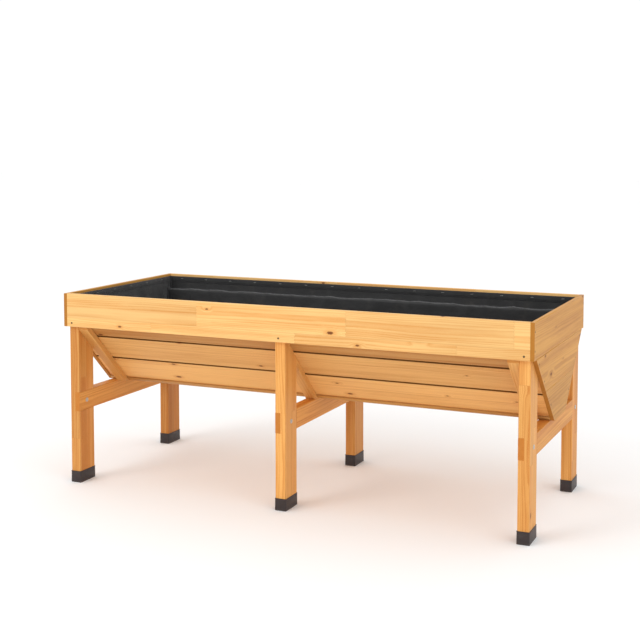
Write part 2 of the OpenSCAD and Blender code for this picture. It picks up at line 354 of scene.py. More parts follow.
@dataclass(frozen=True)
class StainedFir:
    """Stained softwood, with rings, streaks, knots and glued strips.

    It reads the timber's attributes: grain (along, across, depth), board_tone,
    its darkening (real stain on some boards, painted shadow on the top slats and
    painted shade on the slats' edges in the gaps), end_grain and arris.
    """

    name: str
    early: Colour
    late: Colour
    knot: Colour = srgb(110, 58, 24)
    strip: float = 0.0
    seam: float = 0.0
    block: float = 0.0
    ring_pitch: float = 4.6 * MM
    knot_share: float = 0.5

    def build(self) -> bpy.types.Material:
        """Returns the material."""
        s = FinishSheet(self.name)
        along, across, depth = s.split(s.attribute("grain").outputs["Vector"])
        tone = Signal(s, s.attribute("board_tone").outputs["Fac"])
        stain = Signal(s, s.attribute("stain").outputs["Fac"])
        end = Signal(s, s.attribute("end_grain").outputs["Fac"])
        arris = Signal(s, s.attribute("arris").outputs["Fac"])

        seed, joint = self._glue_up(s, along, across, tone)
        first, second, third = s.dice(seed)
        knots, halo, swirl = self._knots(s, along, across, seed)

        shifted = along + first * 9.0
        wander = s.noise(s.join(shifted * 1.1, across * 4.0, depth * 4.0), 2.0)
        pith_across = across + (second - 0.5) * 0.10 + (wander - 0.5) * 0.05
        pith_depth = depth + third * 0.05 + 0.016
        reach = (pith_across * pith_across + pith_depth * pith_depth) ** 0.5
        fibre = s.noise(s.join(shifted * 12.0, across * 620.0, depth * 620.0), 2.0)
        phase = reach / self.ring_pitch + swirl * 1.4 + (fibre - 0.5) * 0.5
        ring = phase.fract()
        late = ring.step(0.35, 0.9) * ring.step(1.0, 0.93)
        streak = s.noise(s.join(shifted * 1.3, across * 38.0, depth * 38.0), 3.0, 0.6)
        cloud = s.noise(s.join(shifted * 2.4, across * 7.0, depth * 7.0), 2.0)

        share = late * 0.5 + streak.step(0.36, 0.7) * 0.62 + (fibre - 0.5) * 0.26
        # The darkening makes the wood darker: real stain on the legs, painted shadow on the top
        # slats and painted shade on the slats' edges in the gaps.
        share = share + stain * 0.6 - 0.1
        colour = s.mix(share, self.early, self.late)
        warm = s.mix(halo * 0.6, colour, self.late)
        lift = 0.86 + first * 0.14 + second * 0.06 + (cloud - 0.5) * 0.22 - stain * 0.22
        toned = s.mix(1.0, warm, s.shade(lift), "MULTIPLY")
        knotted = s.mix(knots * 0.92, toned, self.knot)
        ends = s.mix(end * 0.8, knotted, self.late)
        seamed = s.mix(joint * 0.5, ends, self.knot)
        worn = s.mix(arris * 0.18, seamed, self.early)

        rough = 0.50 + (fibre - 0.5) * 0.14 + end * 0.2 + knots * 0.08
        height = fibre * 0.45 + late * 0.3 + streak * 0.2 - knots * 0.4 - joint * 0.8
        return s.finish(
            Base_Color=worn,
            Roughness=rough,
            Normal=s.bump(height, 0.28, 0.5 * MM),
            Specular_IOR_Level=0.22,
        )

    def _glue_up(
        self, s: FinishSheet, along: Signal, across: Signal, tone: Signal
    ) -> tuple[Signal, Signal]:
        """Splits a board into glued strips with finger joints.

        Args:
            s: the finish being built.
            along: distance along the board.
            across: distance across the board.
            tone: the board's own number.

        Returns:
            A seed for each stick of wood, and a mask of the glue lines.
        """
        if not self.strip:
            return tone * 97.0, tone * 0.0
        strip = (across - self.seam) / self.strip
        row = strip.floor()
        shift, _, _ = s.dice(row * 3.3 + tone * 41.0)
        fingers = (across / (5.5 * MM)).ping_pong(1.0)
        sticks = (along + shift * self.block + fingers * (4.5 * MM)) / self.block
        stick = sticks.floor()
        edge = abs(across - self.seam).step(0.7 * MM, 0.2 * MM) * 0.5
        finger_line = (sticks - stick).step(0.8 * MM / self.block, 0.2 * MM / self.block)
        return tone * 97.0 + row * 13.7 + stick * 5.3, edge.most(finger_line)

    def _knots(
        self, s: FinishSheet, along: Signal, across: Signal, seed: Signal
    ) -> tuple[Signal, Signal, Signal]:
        """Scatters small knots that are longer along the grain.

        Args:
            s: the finish being built.
            along: distance along the board.
            across: distance across the board.
            seed: the stick's own number.

        Returns:
            The knots, the darker wood around them, and how far they bend the rings.
        """
        place = s.join(along * 4.4 + seed * 2.7, across * 9.4, 0.0)
        cells = s.node(
            "ShaderNodeTexVoronoi",
            {"voronoi_dimensions": "2D", "feature": "F1"},
            {"Vector": place, "Scale": 1.0, "Randomness": 0.9},
        )
        distance = Signal(s, cells.outputs["Distance"])
        picked, size, _ = s.split(cells.outputs["Color"])
        there = picked < self.knot_share
        ragged = s.noise(s.join(along * 300.0, across * 300.0, 0.0), 1.0)
        near = distance / (0.024 + size * size * 0.046) + (ragged - 0.5) * 0.5
        core = near.step(1.0, 0.55) * there
        halo = near.step(2.6, 0.9) * there
        swirl = near.step(4.5, 0.0) * there
        return core, halo, swirl


@dataclass(frozen=True)
class BootPlastic:
    """Fine-textured moulded plastic."""

    name: str
    colour: Colour

    def build(self) -> bpy.types.Material:
        """Returns the material."""
        s = FinishSheet(self.name)
        place = s.object_place()
        leather = s.node(
            "ShaderNodeTexVoronoi", {"feature": "F1"}, {"Vector": place, "Scale": 900.0}
        )
        pebble = Signal(s, leather.outputs["Distance"])
        dust = s.noise(s.vector("MULTIPLY", place, (24.0, 24.0, 40.0)), 4.0, 0.6)
        scuff = s.noise(s.vector("MULTIPLY", place, (180.0, 180.0, 60.0)), 3.0, 0.7)
        _, _, high = s.split(place)
        low = high.step(10 * MM, 0.0)
        dusty = (dust.step(0.5, 0.8) * 0.25 + low * 0.2) * scuff
        colour = s.mix(dusty, self.colour, srgb(128, 118, 108))
        return s.finish(
            Base_Color=colour,
            Roughness=0.44 + scuff.step(0.45, 0.8) * 0.2,
            Normal=s.bump(pebble, 0.35, 0.25 * MM),
            Specular_IOR_Level=0.5,
        )


@dataclass(frozen=True)
class PlatedSteel:
    """Zinc-plated steel with fine scratches and dull patches."""

    name: str
    colour: Colour
    rough: float = 0.34

    def build(self) -> bpy.types.Material:
        """Returns the material."""
        s = FinishSheet(self.name)
        place = s.object_place()
        patch = s.noise(s.vector("MULTIPLY", place, (420.0, 420.0, 420.0)), 3.0, 0.6)
        scratch = s.noise(s.vector("MULTIPLY", place, (300.0, 4000.0, 900.0)), 2.0)
        colour = s.mix(patch.step(0.4, 0.75) * 0.5, self.colour, srgb(120, 112, 98))
        return s.finish(
            Base_Color=colour,
            Roughness=self.rough + patch * 0.18 + scratch * 0.1,
            Metallic=1.0 - patch.step(0.6, 0.85) * 0.2,
            Normal=s.bump(scratch, 0.12, 0.1 * MM),
        )


@dataclass(frozen=True)
class LinerCloth:
    """Black woven ground fabric with flat tapes over and under."""

    name: str
    dark: Colour
    light: Colour
    tape: float = 2.2 * MM

    def build(self) -> bpy.types.Material:
        """Returns the material. The weave follows the cloth's own UV map, in metres."""
        s = FinishSheet(self.name)
        cloth = s.node("ShaderNodeUVMap", {"uv_map": "cloth"}, {}).outputs["UV"]
        warp, weft, _ = s.split(cloth)
        u, v = warp / self.tape, weft / self.tape
        cell = (u.floor() + v.floor()) / 2.0
        over = cell.fract() > 0.25
        across_u = abs(u.fract() - 0.5) * 2.0
        across_v = abs(v.fract() - 0.5) * 2.0
        crown_u = 1.0 - across_u * across_u
        crown_v = 1.0 - across_v * across_v
        height = over * crown_u + (1.0 - over) * crown_v
        gap = (1.0 - height).step(0.55, 1.0)
        fibre = s.noise(s.vector("MULTIPLY", cloth, (9000.0, 9000.0, 1.0)), 2.0)
        lint = s.noise(s.vector("MULTIPLY", cloth, (14.0, 14.0, 1.0)), 4.0, 0.65)
        # Painted highlight: the crowns of the tapes are coloured lighter, towards the second
        # colour.
        tint = s.mix(height * 0.5 + (fibre - 0.5) * 0.4, self.dark, self.light)
        dusty = s.mix(lint.step(0.5, 0.85) * 0.22, tint, srgb(92, 84, 74))
        # Painted shade: the valleys between the tapes are coloured near black.
        colour = s.mix(gap * 0.6, dusty, (0.004, 0.004, 0.004))
        return s.finish(
            Base_Color=colour,
            Roughness=0.62 + (fibre - 0.5) * 0.2 + gap * 0.15,
            Normal=s.bump(height, 0.55, 0.5 * MM),
            Sheen_Weight=0.25,
            Sheen_Roughness=0.5,
        )


@dataclass(frozen=True)
class Thread:
    """Twisted polyester thread."""

    name: str
    colour: Colour

    def build(self) -> bpy.types.Material:
        """Returns the material."""
        s = FinishSheet(self.name)
        x, y, z = s.split(s.object_place())
        twist = ((x + y + z) / (0.5 * MM)).fract()
        ply = abs(twist - 0.5) * 2.0
        fuzz = s.noise(s.vector("MULTIPLY", s.object_place(), (3000.0, 3000.0, 3000.0)), 2.0)
        # Painted shade: each twist darkens towards its edges, in the grooves between the plies.
        colour = s.mix(ply * 0.5 + fuzz * 0.3, self.colour, (0.01, 0.01, 0.01))
        return s.finish(
            Base_Color=colour, Roughness=0.6 + fuzz * 0.2, Normal=s.bump(ply, 0.4, 0.1 * MM)
        )


@dataclass(frozen=True)
class StudioWhite:
    """Matte white for the floor."""

    name: str
    colour: Colour

    def build(self) -> bpy.types.Material:
        """Returns the material."""
        s = FinishSheet(self.name)
        mottle = s.noise(s.vector("MULTIPLY", s.object_place(), (1.5, 1.5, 1.5)), 2.0)
        colour = s.mix(mottle * 0.02, self.colour, (0.8, 0.8, 0.8))
        return s.finish(Base_Color=colour, Roughness=0.9, Specular_IOR_Level=0.1)


class Finishes:
    """Every finish of the planter, built once."""

    def __init__(self) -> None:
        """Builds the materials."""
        self.rail = StainedFir(
            "rail_fir", srgb(247, 199, 128), srgb(226, 158, 84),
            strip=89 * MM, seam=-26.5 * MM, block=0.58, knot_share=0.42,
        ).build()
        self.leg = StainedFir(
            "leg_fir", srgb(240, 178, 100), srgb(208, 130, 56),
            strip=46 * MM, seam=0.0, block=0.62, knot_share=0.22,
        ).build()
        self.bar = StainedFir(
            "bar_fir", srgb(226, 162, 80), srgb(192, 116, 44), knot_share=0.4
        ).build()
        self.slat = StainedFir(
            "slat_fir", srgb(238, 182, 110), srgb(206, 138, 70), knot_share=0.62
        ).build()
        # The end boards are coloured darker than the rest of the fir: painted shade for the
        # faces that turn away from the key light.
        self.end = StainedFir(
            "end_fir", srgb(208, 150, 68), srgb(172, 110, 38), knot_share=0.62
        ).build()
        self.inner = StainedFir(
            "inner_fir", srgb(234, 178, 104), srgb(202, 134, 64), knot_share=0.5
        ).build()
        self.boot = BootPlastic("boot_plastic", srgb(45, 34, 33)).build()
        self.bolt = PlatedSteel("bolt_zinc", srgb(205, 204, 200)).build()
        self.screw = PlatedSteel("screw_zinc", srgb(118, 98, 70), rough=0.46).build()
        # The second colour of each cloth is a painted highlight, laid on the crowns of its
        # tapes.
        self.cloth = LinerCloth("liner_cloth", srgb(16, 16, 17), srgb(46, 46, 47)).build()
        self.tape = LinerCloth(
            "tape_cloth", srgb(20, 20, 21), srgb(58, 58, 60), tape=0.9 * MM
        ).build()
        self.thread = Thread("hem_thread", srgb(96, 96, 98)).build()
        self.staple = PlatedSteel("staple_steel", srgb(190, 190, 188)).build()
        self.floor = StudioWhite("studio_white", (0.97, 0.97, 0.97)).build()


# --------------------------------------------------------------------------
# Mesh helpers
# --------------------------------------------------------------------------


def add_object(name: str, mesh: bpy.types.Mesh) -> bpy.types.Object:
    """Links a new object for a mesh, at the origin."""
    made = bpy.data.objects.new(name, mesh)
    bpy.context.scene.collection.objects.link(made)
    return made


def from_bmesh(name: str, work: bmesh.types.BMesh) -> bpy.types.Object:
    """Turns a bmesh into an object and frees it."""
    mesh = bpy.data.meshes.new(name)
    work.to_mesh(mesh)
    work.free()
    return add_object(name, mesh)


def settle(piece: bpy.types.Object) -> None:
    """Applies a piece's modifiers to its mesh and removes them."""
    bpy.context.view_layer.update()
    graph = bpy.context.evaluated_depsgraph_get()
    mesh = bpy.data.meshes.new_from_object(piece.evaluated_get(graph))
    piece.modifiers.clear()
    old = piece.data
    piece.data = mesh
    bpy.data.meshes.remove(old)
    mesh.name = piece.name


def carve(piece: bpy.types.Object, cutters: Iterable[bpy.types.Object]) -> None:
    """Takes cutters away from a piece, and deletes them."""
    cutters = list(cutters)
    for cutter in cutters:
        cut = piece.modifiers.new("cut", "BOOLEAN")
        cut.operation, cut.solver, cut.object = "DIFFERENCE", "EXACT", cutter
    settle(piece)
    for cutter in cutters:
        bpy.data.objects.remove(cutter)


def block(name: str, low: Sequence[float], high: Sequence[float]) -> bpy.types.Object:
    """A plain box between two corners, used only to cut timbers."""
    work = bmesh.new()
    bmesh.ops.create_cube(work, size=1.0)
    middle = [(a + b) / 2 for a, b in zip(low, high)]
    spans = [b - a for a, b in zip(low, high)]
    for corner in work.verts:
        corner.co = Vector(m + c * d for m, c, d in zip(middle, corner.co, spans))
    return from_bmesh(name, work)


def prism(
    name: str, profile: Sequence[tuple[float, float]], x_low: float, x_high: float
) -> bpy.types.Object:
    """A solid from a profile in Y and Z between two places along X, used to cut timbers."""
    work = bmesh.new()
    near = [work.verts.new((x_low, y, z)) for y, z in profile]
    far = [work.verts.new((x_high, y, z)) for y, z in profile]
    for i in range(len(profile)):
        j = (i + 1) % len(profile)
        work.faces.new((near[i], near[j], far[j], far[i]))
    work.faces.new(near)
    work.faces.new(far)
    bmesh.ops.recalc_face_normals(work, faces=work.faces)
    return from_bmesh(name, work)


def hand_over(
    piece: bpy.types.Object, finish: bpy.types.Material | None, nodes: Sequence[str]
) -> None:
    """Rides a finished piece on the planter and hides the nodes it stands for.

    Args:
        piece: the finished piece.
        finish: its material, or None if the mesh has it already.
        nodes: the CAD nodes it replaces.
    """
    if finish is not None:
        piece.data.materials.clear()
        piece.data.materials.append(finish)
    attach(piece, BODY)
    if nodes:
        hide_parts(*nodes)
    LOG.info("%s: %d faces", piece.name, len(piece.data.polygons))


@dataclass
class Cut:
    """A flat saw cut: what lies on the side that the normal points to falls off."""

    point: Vector
    normal: Vector


@dataclass
class Timber:
    """One board or post, planed with eased long edges and cut to length.

    middle is its centre, along and across are unit vectors, and sizes are its
    length, width and thickness before the cuts. Its darkening is how much darker it
    took the stain than its neighbours, or on the top slat the rim's painted shadow;
    the edge value is painted shade on its narrow edges, in the gaps between boards.
    """

    name: str
    middle: Vector
    along: Vector
    across: Vector
    sizes: tuple[float, float, float]
    cuts: list[Cut] = field(default_factory=list)
    ease: float = 1.6 * MM
    stain: float = 0.0
    edge_stain: float = 0.0
    arc_steps: int = 3

    def frame(self) -> Matrix:
        """The board's own frame: along, across and depth as columns."""
        depth = self.along.cross(self.across)
        turned = Matrix((self.along, self.across, depth)).transposed()
        return Matrix.Translation(self.middle) @ turned.to_4x4()

    def _section(self) -> list[tuple[float, float]]:
        """The eased outline across the board, anticlockwise."""
        half_w, half_t = self.sizes[1] / 2, self.sizes[2] / 2
        ease = min(self.ease, half_t * 0.8)
        points = []
        for sign_w, sign_t, start in ((1, 1, 0), (-1, 1, 90), (-1, -1, 180), (1, -1, 270)):
            for step in range(self.arc_steps + 1):
                angle = math.radians(start + 90 * step / self.arc_steps)
                points.append(
                    (
                        sign_w * (half_w - ease) + ease * math.cos(angle),
                        sign_t * (half_t - ease) + ease * math.sin(angle),
                    )
                )
        return points

    def saw(self) -> bpy.types.Object:
        """Returns the board as a closed mesh, cut but not yet marked."""
        work = bmesh.new()
        place = self.frame()
        half = self.sizes[0] / 2
        rings = []
        for end in (-half, half):
            rings.append(
                [work.verts.new(place @ Vector((end, w, t))) for w, t in self._section()]
            )
        count = len(rings[0])
        for i in range(count):
            j = (i + 1) % count
            work.faces.new((rings[0][i], rings[1][i], rings[1][j], rings[0][j]))
        work.faces.new(rings[0])
        work.faces.new(list(reversed(rings[1])))
        for cut in self.cuts:
            everything = work.verts[:] + work.edges[:] + work.faces[:]
            bmesh.ops.bisect_plane(
                work,
                geom=everything,
                dist=1e-6,
                plane_co=cut.point,
                plane_no=cut.normal,
                clear_outer=True,
            )
            rim = [edge for edge in work.edges if edge.is_boundary]
            bmesh.ops.edgeloop_fill(work, edges=rim)
        bmesh.ops.recalc_face_normals(work, faces=work.faces)
        return from_bmesh(self.name, work)

    def mark(self, piece: bpy.types.Object) -> None:
        """Writes the grain, tone, stain and painted shade, end grain and arris that the wood
        finish reads.
        """
        mesh = piece.data
        back = np.array(self.frame().inverted())
        points = np.empty(len(mesh.vertices) * 3)
        mesh.vertices.foreach_get("co", points)
        points = points.reshape(-1, 3)
        local = points @ back[:3, :3].T + back[:3, 3]
        grain = mesh.attributes.new("grain", "FLOAT_VECTOR", "POINT")
        grain.data.foreach_set("vector", local.astype(np.float32).ravel())
        tone = random.Random(self.name).random()
        tones = mesh.attributes.new("board_tone", "FLOAT", "POINT")
        tones.data.foreach_set("value", np.full(len(mesh.vertices), tone, np.float32))
        stain_and_shade_values = np.full(len(mesh.polygons), self.stain, np.float32)
        ends = np.zeros(len(mesh.polygons), np.float32)
        arrises = np.zeros(len(mesh.polygons), np.float32)
        depth = self.along.cross(self.across)
        for index, face in enumerate(mesh.polygons):
            normal = face.normal
            on_end = abs(normal.dot(self.along))
            on_flat = max(abs(normal.dot(self.across)), abs(normal.dot(depth)))
            ends[index] = 1.0 if on_end > 0.5 else 0.0
            eased = on_end < 0.1 and on_flat < 0.995
            arrises[index] = 1.0 if eased else 0.0
            face.use_smooth = eased
            # Painted shade: the slats' narrow edges, which face each other across the gaps, are
            # darkened as if in the gaps' shadow.
            if self.edge_stain and on_end < 0.1 and abs(normal.dot(self.across)) > 0.6:
                stain_and_shade_values[index] = self.edge_stain
                arrises[index] = 0.0
        for name, values in (("stain", stain_and_shade_values), ("end_grain", ends), ("arris", arrises)):
            mesh.attributes.new(name, "FLOAT", "FACE").data.foreach_set("value", values)

    def make(self, cutters: Iterable[bpy.types.Object] = ()) -> bpy.types.Object:
        """Saws the board, carves it and marks its grain."""
        piece = self.saw()
        cutters = list(cutters)
        if cutters:
            carve(piece, cutters)
        self.mark(piece)
        return piece


# --------------------------------------------------------------------------
# Sizes shared by the sub-assemblies
# --------------------------------------------------------------------------

X, Y, Z = Vector((1, 0, 0)), Vector((0, 1, 0)), Vector((0, 0, 1))

# How far the base stands out past the foot of the slats.
BASE_REVEAL = 6 * MM


@dataclass(frozen=True)
class Layout:
    """The planes that several pieces share, read from the frame."""

    half_length: float
    end_in: float
    half_depth: float
    rail_in: float
    ledger_in: float
    leg_in: float
    rail_low: float
    rail_top: float
    ledger_top: float
    base_top: float
    bar_top: float
    bar_low: float
    slat_foot: float
    slat_inner_foot: float
    slope_inner_top: float

    @classmethod
    def read(cls) -> "Layout":
        """Reads every plane from the CAD nodes' boxes."""
        rail_low, rail_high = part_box("rail_back")
        end_low, end_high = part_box("rail_end_right")
        ledger_low, ledger_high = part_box("ledger_back_right")
        bar_low, bar_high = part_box("cross_bar_mid")
        return cls(
            half_length=end_high.x,
            end_in=end_low.x,
            half_depth=rail_high.y,
            rail_in=rail_low.y,
            ledger_in=ledger_low.y,
            leg_in=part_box("leg_back_mid")[0].y,
            rail_low=rail_low.z,
            rail_top=rail_high.z,
            ledger_top=ledger_high.z,
            base_top=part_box("base_board_back")[1].z,
            bar_top=bar_high.z,
            bar_low=bar_low.z,
            slat_foot=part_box("base_board_back")[1].y - BASE_REVEAL,
            slat_inner_foot=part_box("slat_back_low")[0].y,
            slope_inner_top=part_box("slat_back_top")[1].z,
        )

    @property
    def lean(self) -> float:
        """Angle of the sloping sides from upright."""
        run = self.ledger_in - self.slat_inner_foot
        return math.atan2(run, self.slope_inner_top - self.base_top)

    @property
    def slat_thick(self) -> float:
        """Thickness of the slats."""
        return (self.slat_foot - self.slat_inner_foot) * math.cos(self.lean)

    @property
    def slope_length(self) -> float:
        """Length of the slats' outer face, from its foot to the ledger."""
        return (self.ledger_in - self.slat_foot) / math.sin(self.lean)

    def up_slope(self, row: Row) -> Vector:
        """Unit vector up the sloping side of a row."""
        return Vector((0, row.value * math.sin(self.lean), math.cos(self.lean)))

    def off_slope(self, row: Row) -> Vector:
        """Unit vector out of the sloping side of a row, away from the trough."""
        return Vector((0, row.value * math.cos(self.lean), -math.sin(self.lean)))

    def slope_point(self, row: Row, along: float, outward: float = 0.0) -> Vector:
        """A point on the slats' outer face, along the slope from its foot."""
        foot = Vector((0, row.value * self.slat_foot, self.base_top))
        return foot + self.up_slope(row) * along + self.off_slope(row) * outward

    def along_slope(self, half_width: float, outward: float = 0.0) -> float:
        """How far along the slope a face set outward reaches a half width."""
        reach = half_width - self.slat_foot - outward * math.cos(self.lean)
        return reach / math.sin(self.lean)

    def lower_edge(self, node: str) -> float:
        """How far along the slope a slat's lower edge is, from its node's box."""
        return (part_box(node)[0].z - self.base_top) / math.cos(self.lean)

    def upper_edge(self, node: str) -> float:
        """How far along the slope a slat's upper edge is, from its node's box."""
        low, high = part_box(node)
        return self.along_slope(max(abs(low.y), abs(high.y)))


def between(low: Vector, high: Vector, share: Sequence[float] = (0.5, 0.5, 0.5)) -> Vector:
    """A point inside a box, by its share of each side."""
    return Vector(a + (b - a) * t for a, b, t in zip(low, high, share))


# --------------------------------------------------------------------------
# Timber sub-assemblies
# --------------------------------------------------------------------------


@dataclass
class Stand:
    """Six legs and the three cross bars lapped into them."""

    layout: Layout
    finishes: Finishes
    ease: float = 2.2 * MM
    leg_stains: tuple[float, ...] = (0.5, 1.0, 0.0, 0.5, 0.1, 0.3)

    def build(self) -> None:
        """Builds the legs and the cross bars."""
        stain_and_shade_values = iter(self.leg_stains)
        for side in Side:
            for row in Row:
                self._leg(side, row, next(stain_and_shade_values))
            self._bar(side)

    def _notch_span(self, side: Side, low: float, high: float) -> tuple[float, float]:
        """The half of a leg's width, along X, that the cross bar's lap takes."""
        middle = (low + high) / 2
        return (middle, high) if side is Side.LEFT else (low, middle)

    def _leg(self, side: Side, row: Row, stain: float) -> None:
        """Builds one leg with its tongue, sloped top and lap notch.

        Args:
            side: which pair of legs.
            row: the front or the back leg.
            stain: how much darker it took the stain than the palest leg.
        """
        lay = self.layout
        node = f"leg_{row}_{side}"
        low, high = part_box(node)
        timber = Timber(
            name=f"post_{row}_{side}",
            middle=between(low, high),
            along=Z,
            across=Y,
            sizes=(high.z - low.z, high.y - low.y, high.x - low.x),
            ease=self.ease,
            stain=stain,
        )
        over = 0.02
        notch_from, notch_to = self._notch_span(side, low.x, high.x)
        notch_low = notch_from - (over if notch_from == low.x else 0.0)
        notch_high = notch_to + (over if notch_to == high.x else 0.0)
        notch = block(
            "notch",
            (notch_low, low.y - over, lay.bar_low),
            (notch_high, high.y + over, lay.bar_top),
        )
        slope = self._slope_cutter(row, low.x - over, high.x + over)
        piece = timber.make([slope, notch])
        hand_over(piece, self.finishes.leg, [node])

    def _slope_cutter(self, row: Row, x_low: float, x_high: float) -> bpy.types.Object:
        """The wedge of wood that is cut away under the slats, beside the tongue."""
        lay = self.layout
        inward, over = 0.05, 0.1
        foot = lay.slope_point(row, lay.along_slope(lay.leg_in - inward))
        head = lay.slope_point(row, lay.along_slope(lay.ledger_in))
        profile = [
            (foot.y, foot.z),
            (head.y, head.z),
            (head.y, lay.rail_top + over),
            (foot.y, lay.rail_top + over),
        ]
        return prism("slope_cutter", profile, x_low, x_high)

    def _bar(self, side: Side) -> None:
        """Builds one cross bar with a half lap at each end."""
        lay = self.layout
        node = f"cross_bar_{side}"
        low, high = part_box(node)
        timber = Timber(
            name=f"bar_{side}",
            middle=between(low, high),
            along=Y,
            across=Z,
            sizes=(high.y - low.y, high.z - low.z, high.x - low.x),
            ease=self.ease,
        )
        over = 0.02
        lap_from, lap_to = self._notch_span(side, low.x, high.x)
        gone_low = low.x - over if lap_from > low.x else lap_to
        gone_high = lap_from if lap_from > low.x else high.x + over
        cutters = []
        for row in Row:
            inner, outer = row.value * lay.leg_in, row.value * (lay.rail_in + over)
            cutters.append(
                block(
                    f"lap_{row}",
                    (gone_low, min(inner, outer), low.z - over),
                    (gone_high, max(inner, outer), high.z + over),
                )
            )
        piece = timber.make(cutters)
        hand_over(piece, self.finishes.bar, [node])


@dataclass
class Rim:
    """The four rim boards and the ledgers behind the long ones."""

    finishes: Finishes
    screws: "WoodScrews"
    ease: float = 1.5 * MM

    def build(self) -> None:
        """Builds the rim boards and the ledgers."""
        for row in Row:
            node, name = f"rail_{row}", f"rim_{row}"
            seats = self.screws.rail_places(row)
            self._board(node, name, X, Z, self.finishes.rail, seats)
        for side in (Side.LEFT, Side.RIGHT):
            node = f"rail_end_{side}"
            name = f"rim_end_{side}"
            seats = self.screws.corner_places(side)
            self._board(node, name, Y, Z, self.finishes.end, seats)
            for row in Row:
                node = f"ledger_{row}_{side}"
                name = f"shelf_strip_{row}_{side}"
                self._board(node, name, X, Z, self.finishes.inner)

    def _board(
        self,
        node: str,
        name: str,
        along: Vector,
        across: Vector,
        finish: bpy.types.Material,
        seats: Sequence[Matrix] = (),
    ) -> None:
        """Builds one straight board in the box of its node.

        Args:
            node: the CAD node.
            name: the new piece's name.
            along: the way of the grain.
            across: the way of its width.
            finish: the material.
            seats: the places of the screws that are sunk into it.
        """
        low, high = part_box(node)
        spans = high - low
        depth = along.cross(across)
        sizes = tuple(abs(spans.dot(way)) for way in (along, across, depth))
        timber = Timber(name, between(low, high), along, across, sizes, ease=self.ease)
        piece = timber.make([self.screws.seats(seats)] if seats else [])
        hand_over(piece, finish, [node])


